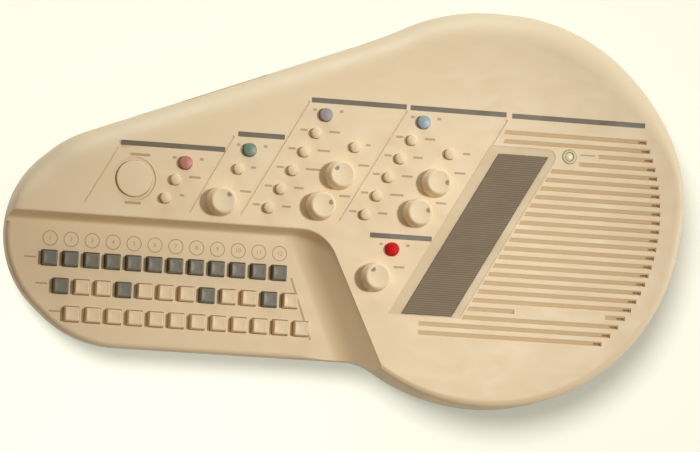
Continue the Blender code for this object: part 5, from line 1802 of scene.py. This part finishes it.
def spring_mesh(start, way, steps=22, round_steps=8):
    """A coil spring that narrows along X, swept as a tube that is capped at each end."""
    rings = []
    count = SPRING_TURNS * steps
    for k in range(count + 1):
        share = k / count
        angle = math.tau * SPRING_TURNS * share
        reach = SPRING_REACH - SPRING_NARROWING * share
        centre = start + Vector((way * SPRING_LENGTH * share, reach * math.cos(angle),
                                 reach * math.sin(angle)))
        outward = Vector((0.0, math.cos(angle), math.sin(angle)))
        ring = []
        for j in range(round_steps):
            turn = math.tau * j / round_steps
            offset = outward * math.cos(turn) + Vector((1.0, 0.0, 0.0)) * math.sin(turn)
            ring.append(centre + offset * SPRING_WIRE)
        rings.append(ring)
    return tube("spring", rings, closed=False)


def contact_meshes():
    """Sheets at both ends of each row, with a spring on one and a dimple on the other."""
    width = (BAY_HIGH.y - BAY_LOW.y) / 2
    low, high = ROW_HEIGHT - CONTACT_HALF, ROW_HEIGHT + CONTACT_HALF
    for row in (0, 1):
        y = BAY_LOW.y + width * (row + 0.5)
        for x, way in ((BAY_LOW.x, 1.0), (BAY_HIGH.x, -1.0)):
            near, far = sorted((x + way * CONTACT_PLAY, x + way * (CONTACT_PLAY + CONTACT_SHEET)))
            yield box((near, y - CONTACT_HALF, low), (far, y + CONTACT_HALF, high))
            inner = x + way * (CONTACT_PLAY + CONTACT_SHEET + SPRING_WIRE)
            if (way > 0) == (row == 0):
                yield spring_mesh(Vector((inner, y, ROW_HEIGHT)), way)
            else:
                dimple = turned(lifted(DIMPLE, 0.0), 24)
                dimple.transform(Matrix.Rotation(way * math.pi / 2, 4, "Y"))
                face = x + way * (CONTACT_PLAY + CONTACT_SHEET)
                dimple.transform(Matrix.Translation((face, y, ROW_HEIGHT)))
                yield dimple


add_piece("battery_contacts", merged("contacts", contact_meshes()), STEEL, "casing")
print("contacts are in, with", 2 * SPRING_TURNS, "turns of spring wire")


# %% [markdown]
# The board under the chord keys stays as the construction has it, since nothing of it shows.
# It only gets the green of the main board.
# %% Finish the key board
key_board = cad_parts["chord_board"]
key_board.data.materials.clear()
key_board.data.materials.append(BOARD)
print("the key board is dressed as", BOARD.name)


# %% [markdown]
# A product picture has a nearly white background, but so much white would wash out the
# underside. The Light Path node tells which rays look at the background itself, straight or
# by way of a shiny or a clear surface. Only they meet the white; the light that bounces
# about the studio meets something greyer.
# %% The background sight group
def make_sight_group():
    """One for a ray from the camera, a reflection or a clear piece, and zero for the others."""
    group, _, end = new_group("Background sight", [], [("Seen", NUMBER)])
    path = add_node(group, "ShaderNodeLightPath")
    mirrored = maths(group, "MAXIMUM", path.outputs["Is Camera Ray"], path.outputs["Is Glossy Ray"])
    seen = maths(group, "MAXIMUM", mirrored, path.outputs["Is Transmission Ray"])
    group.links.new(seen, end.inputs["Seen"])
    return group


SIGHT = make_sight_group()
print("group", SIGHT.name)


# %% [markdown]
# The table is a broad plane of pale paper. A faint glow lifts it where it is seen, as light
# that shines through a sheet does, and the instrument's shadow still falls on it.
# %% Lay the table
FLOOR_SIZE = 60.0
PAPER_WHITE = (0.80, 0.80, 0.70, 1.0)
PAPER_SHADE = (0.32, 0.32, 0.29, 1.0)
PAPER_GLOW = (0.30, 0.335, 0.30, 1.0)


def studio_floor():
    """A plane under the instrument, with its own paper material."""
    bm = bmesh.new()
    bmesh.ops.create_grid(bm, x_segments=1, y_segments=1, size=FLOOR_SIZE / 2)
    floor = new_object("floor", mesh_of(bm, "floor"))
    material = bpy.data.materials.new("paper")
    material.use_nodes = True
    tree = material.node_tree
    shader = tree.nodes["Principled BSDF"]
    sight = add_node(tree, "ShaderNodeGroup", node_tree=SIGHT)
    tone = mixed(tree, sight.outputs["Seen"], PAPER_SHADE, PAPER_WHITE)
    tree.links.new(tone, shader.inputs["Base Color"])
    tree.links.new(sight.outputs["Seen"], shader.inputs["Emission Strength"])
    shader.inputs["Emission Color"].default_value = PAPER_GLOW
    shader.inputs["Roughness"].default_value = 1.0
    shader.inputs["Specular IOR Level"].default_value = 0.0
    floor.data.materials.append(material)
    return floor


FLOOR = studio_floor()
print("floor laid at height", FLOOR.location.z)


# %% [markdown]
# One lamp high at the rear right gives every knob its crescent of shade on the left. Its pool
# fades towards the rim, so the far left of the deck is a little darker. The room is a weak warm
# glow, and three soft screens bring out the rounded edges: two cool ones at the rear and the
# right, and a faint one in front. The table has its own soft sun and a small fill, so the shadow
# falls to the front right and stays pale. Light linking keeps the two sets apart.
# %% Light it
SKY_STRENGTH = 0.22
SKY_TINT = (1.0, 0.66, 0.42, 1.0)
BACKDROP_TINT = (1.0, 1.0, 0.87, 1.0)
WHITE = (1.0, 1.0, 1.0)
KEY_PLACE = Vector((1.14, 0.17, 2.26))
KEY_TARGET = Vector((0.0, -0.06, 0.06))
KEY_TINT = (1.0, 0.995, 0.965)
KEY_CONE = math.radians(19)
KEY_RADIUS = 0.15
KEY_POWER = 158.0
FRONT_PLACE = Vector((0.3, -1.1, 0.75))
FRONT_TARGET = Vector((0.0, -0.1, 0.05))
FRONT_SIZE = (1.2, 0.5)
FRONT_POWER = 1.0
REAR_PLACE = Vector((-0.15, 1.3, 0.3))
REAR_TARGET = Vector((0.0, 0.1, 0.05))
COOL = (0.82, 0.92, 1.0)
REAR_SIZE = (1.4, 0.5)
REAR_POWER = 12.5
RIGHT_PLACE = Vector((1.35, 0.15, 0.3))
RIGHT_TARGET = Vector((0.1, 0.0, 0.05))
RIGHT_SIZE = (1.0, 0.4)
RIGHT_POWER = 7.0
SUN_PLACE = Vector((-0.58, 0.42, 1.4))
SUN_TARGET = Vector((0.0, 0.0, 0.0))
SUN_STRENGTH = 2.25
SUN_ANGLE = math.radians(26)
FILL_PLACE = Vector((-0.25, -0.75, 0.8))
FILL_TARGET = Vector((-0.15, -0.16, 0.0))
FILL_CONE = math.radians(36)
FILL_RADIUS = 0.1
FILL_POWER = 7.0


def aimed(holder, place, target):
    """Point an object's -Z axis from a place to a target."""
    holder.location = place
    holder.rotation_mode = "QUATERNION"
    holder.rotation_quaternion = (target - place).to_track_quat("-Z", "Y")


def linked_only(name, light, member, state):
    """Say which objects a light reaches."""
    group = bpy.data.collections.new(name)
    group.objects.link(member)
    group.collection_objects[0].light_linking.link_state = state
    light.light_linking.receiver_collection = group


def spot(name, cone, radius, power, tint):
    """A lamp whose pool of light fades from the middle to the rim of its cone."""
    lamp = bpy.data.lights.new(name, "SPOT")
    lamp.spot_size = cone
    lamp.spot_blend = 1.0
    lamp.shadow_soft_size = radius
    lamp.energy = power
    lamp.color = tint
    return new_object(name, lamp)


def screen(name, size, power, tint):
    """A white screen that gives a broad soft light."""
    panel = bpy.data.lights.new(name, "AREA")
    panel.shape = "RECTANGLE"
    panel.size, panel.size_y = size
    panel.energy = power
    panel.color = tint
    return new_object(name, panel)


def soft_sun(name, strength, angle, tint):
    """A far light whose shadows have broad soft edges."""
    sun = bpy.data.lights.new(name, "SUN")
    sun.energy = strength
    sun.color = tint
    sun.angle = angle
    return new_object(name, sun)


def studio_lights():
    """A lamp and three screens for the instrument, and a soft sun and a fill for the table."""
    world = bpy.data.worlds.new("studio")
    bpy.context.scene.world = world
    world.use_nodes = True
    tree = world.node_tree
    shade = tree.nodes["Background"]
    sight = add_node(tree, "ShaderNodeGroup", node_tree=SIGHT)
    tone = add_node(tree, "ShaderNodeMix", {
        0: sight.outputs["Seen"], 2: SKY_STRENGTH, 3: 1.0,
    }, data_type="FLOAT")
    tint = mixed(tree, sight.outputs["Seen"], SKY_TINT, BACKDROP_TINT)
    tree.links.new(tint, shade.inputs["Color"])
    tree.links.new(tone.outputs[0], shade.inputs["Strength"])

    key = spot("key_lamp", KEY_CONE, KEY_RADIUS, KEY_POWER, KEY_TINT)
    rear = screen("rear_screen", REAR_SIZE, REAR_POWER, COOL)
    front = screen("front_screen", FRONT_SIZE, FRONT_POWER, WHITE)
    right = screen("right_screen", RIGHT_SIZE, RIGHT_POWER, COOL)
    sun = soft_sun("table_sun", SUN_STRENGTH, SUN_ANGLE, WHITE)
    fill = spot("table_fill", FILL_CONE, FILL_RADIUS, FILL_POWER, WHITE)
    for light, place, target in (
        (key, KEY_PLACE, KEY_TARGET), (rear, REAR_PLACE, REAR_TARGET),
        (front, FRONT_PLACE, FRONT_TARGET), (right, RIGHT_PLACE, RIGHT_TARGET),
        (sun, SUN_PLACE, SUN_TARGET), (fill, FILL_PLACE, FILL_TARGET),
    ):
        aimed(light, place, target)
    for light in (key, rear, front, right):
        linked_only(light.name + "_leaves_out", light, FLOOR, "EXCLUDE")
    for light in (sun, fill):
        linked_only(light.name + "_takes_in", light, FLOOR, "INCLUDE")


studio_lights()
bpy.context.scene.view_settings.view_transform = "Standard"
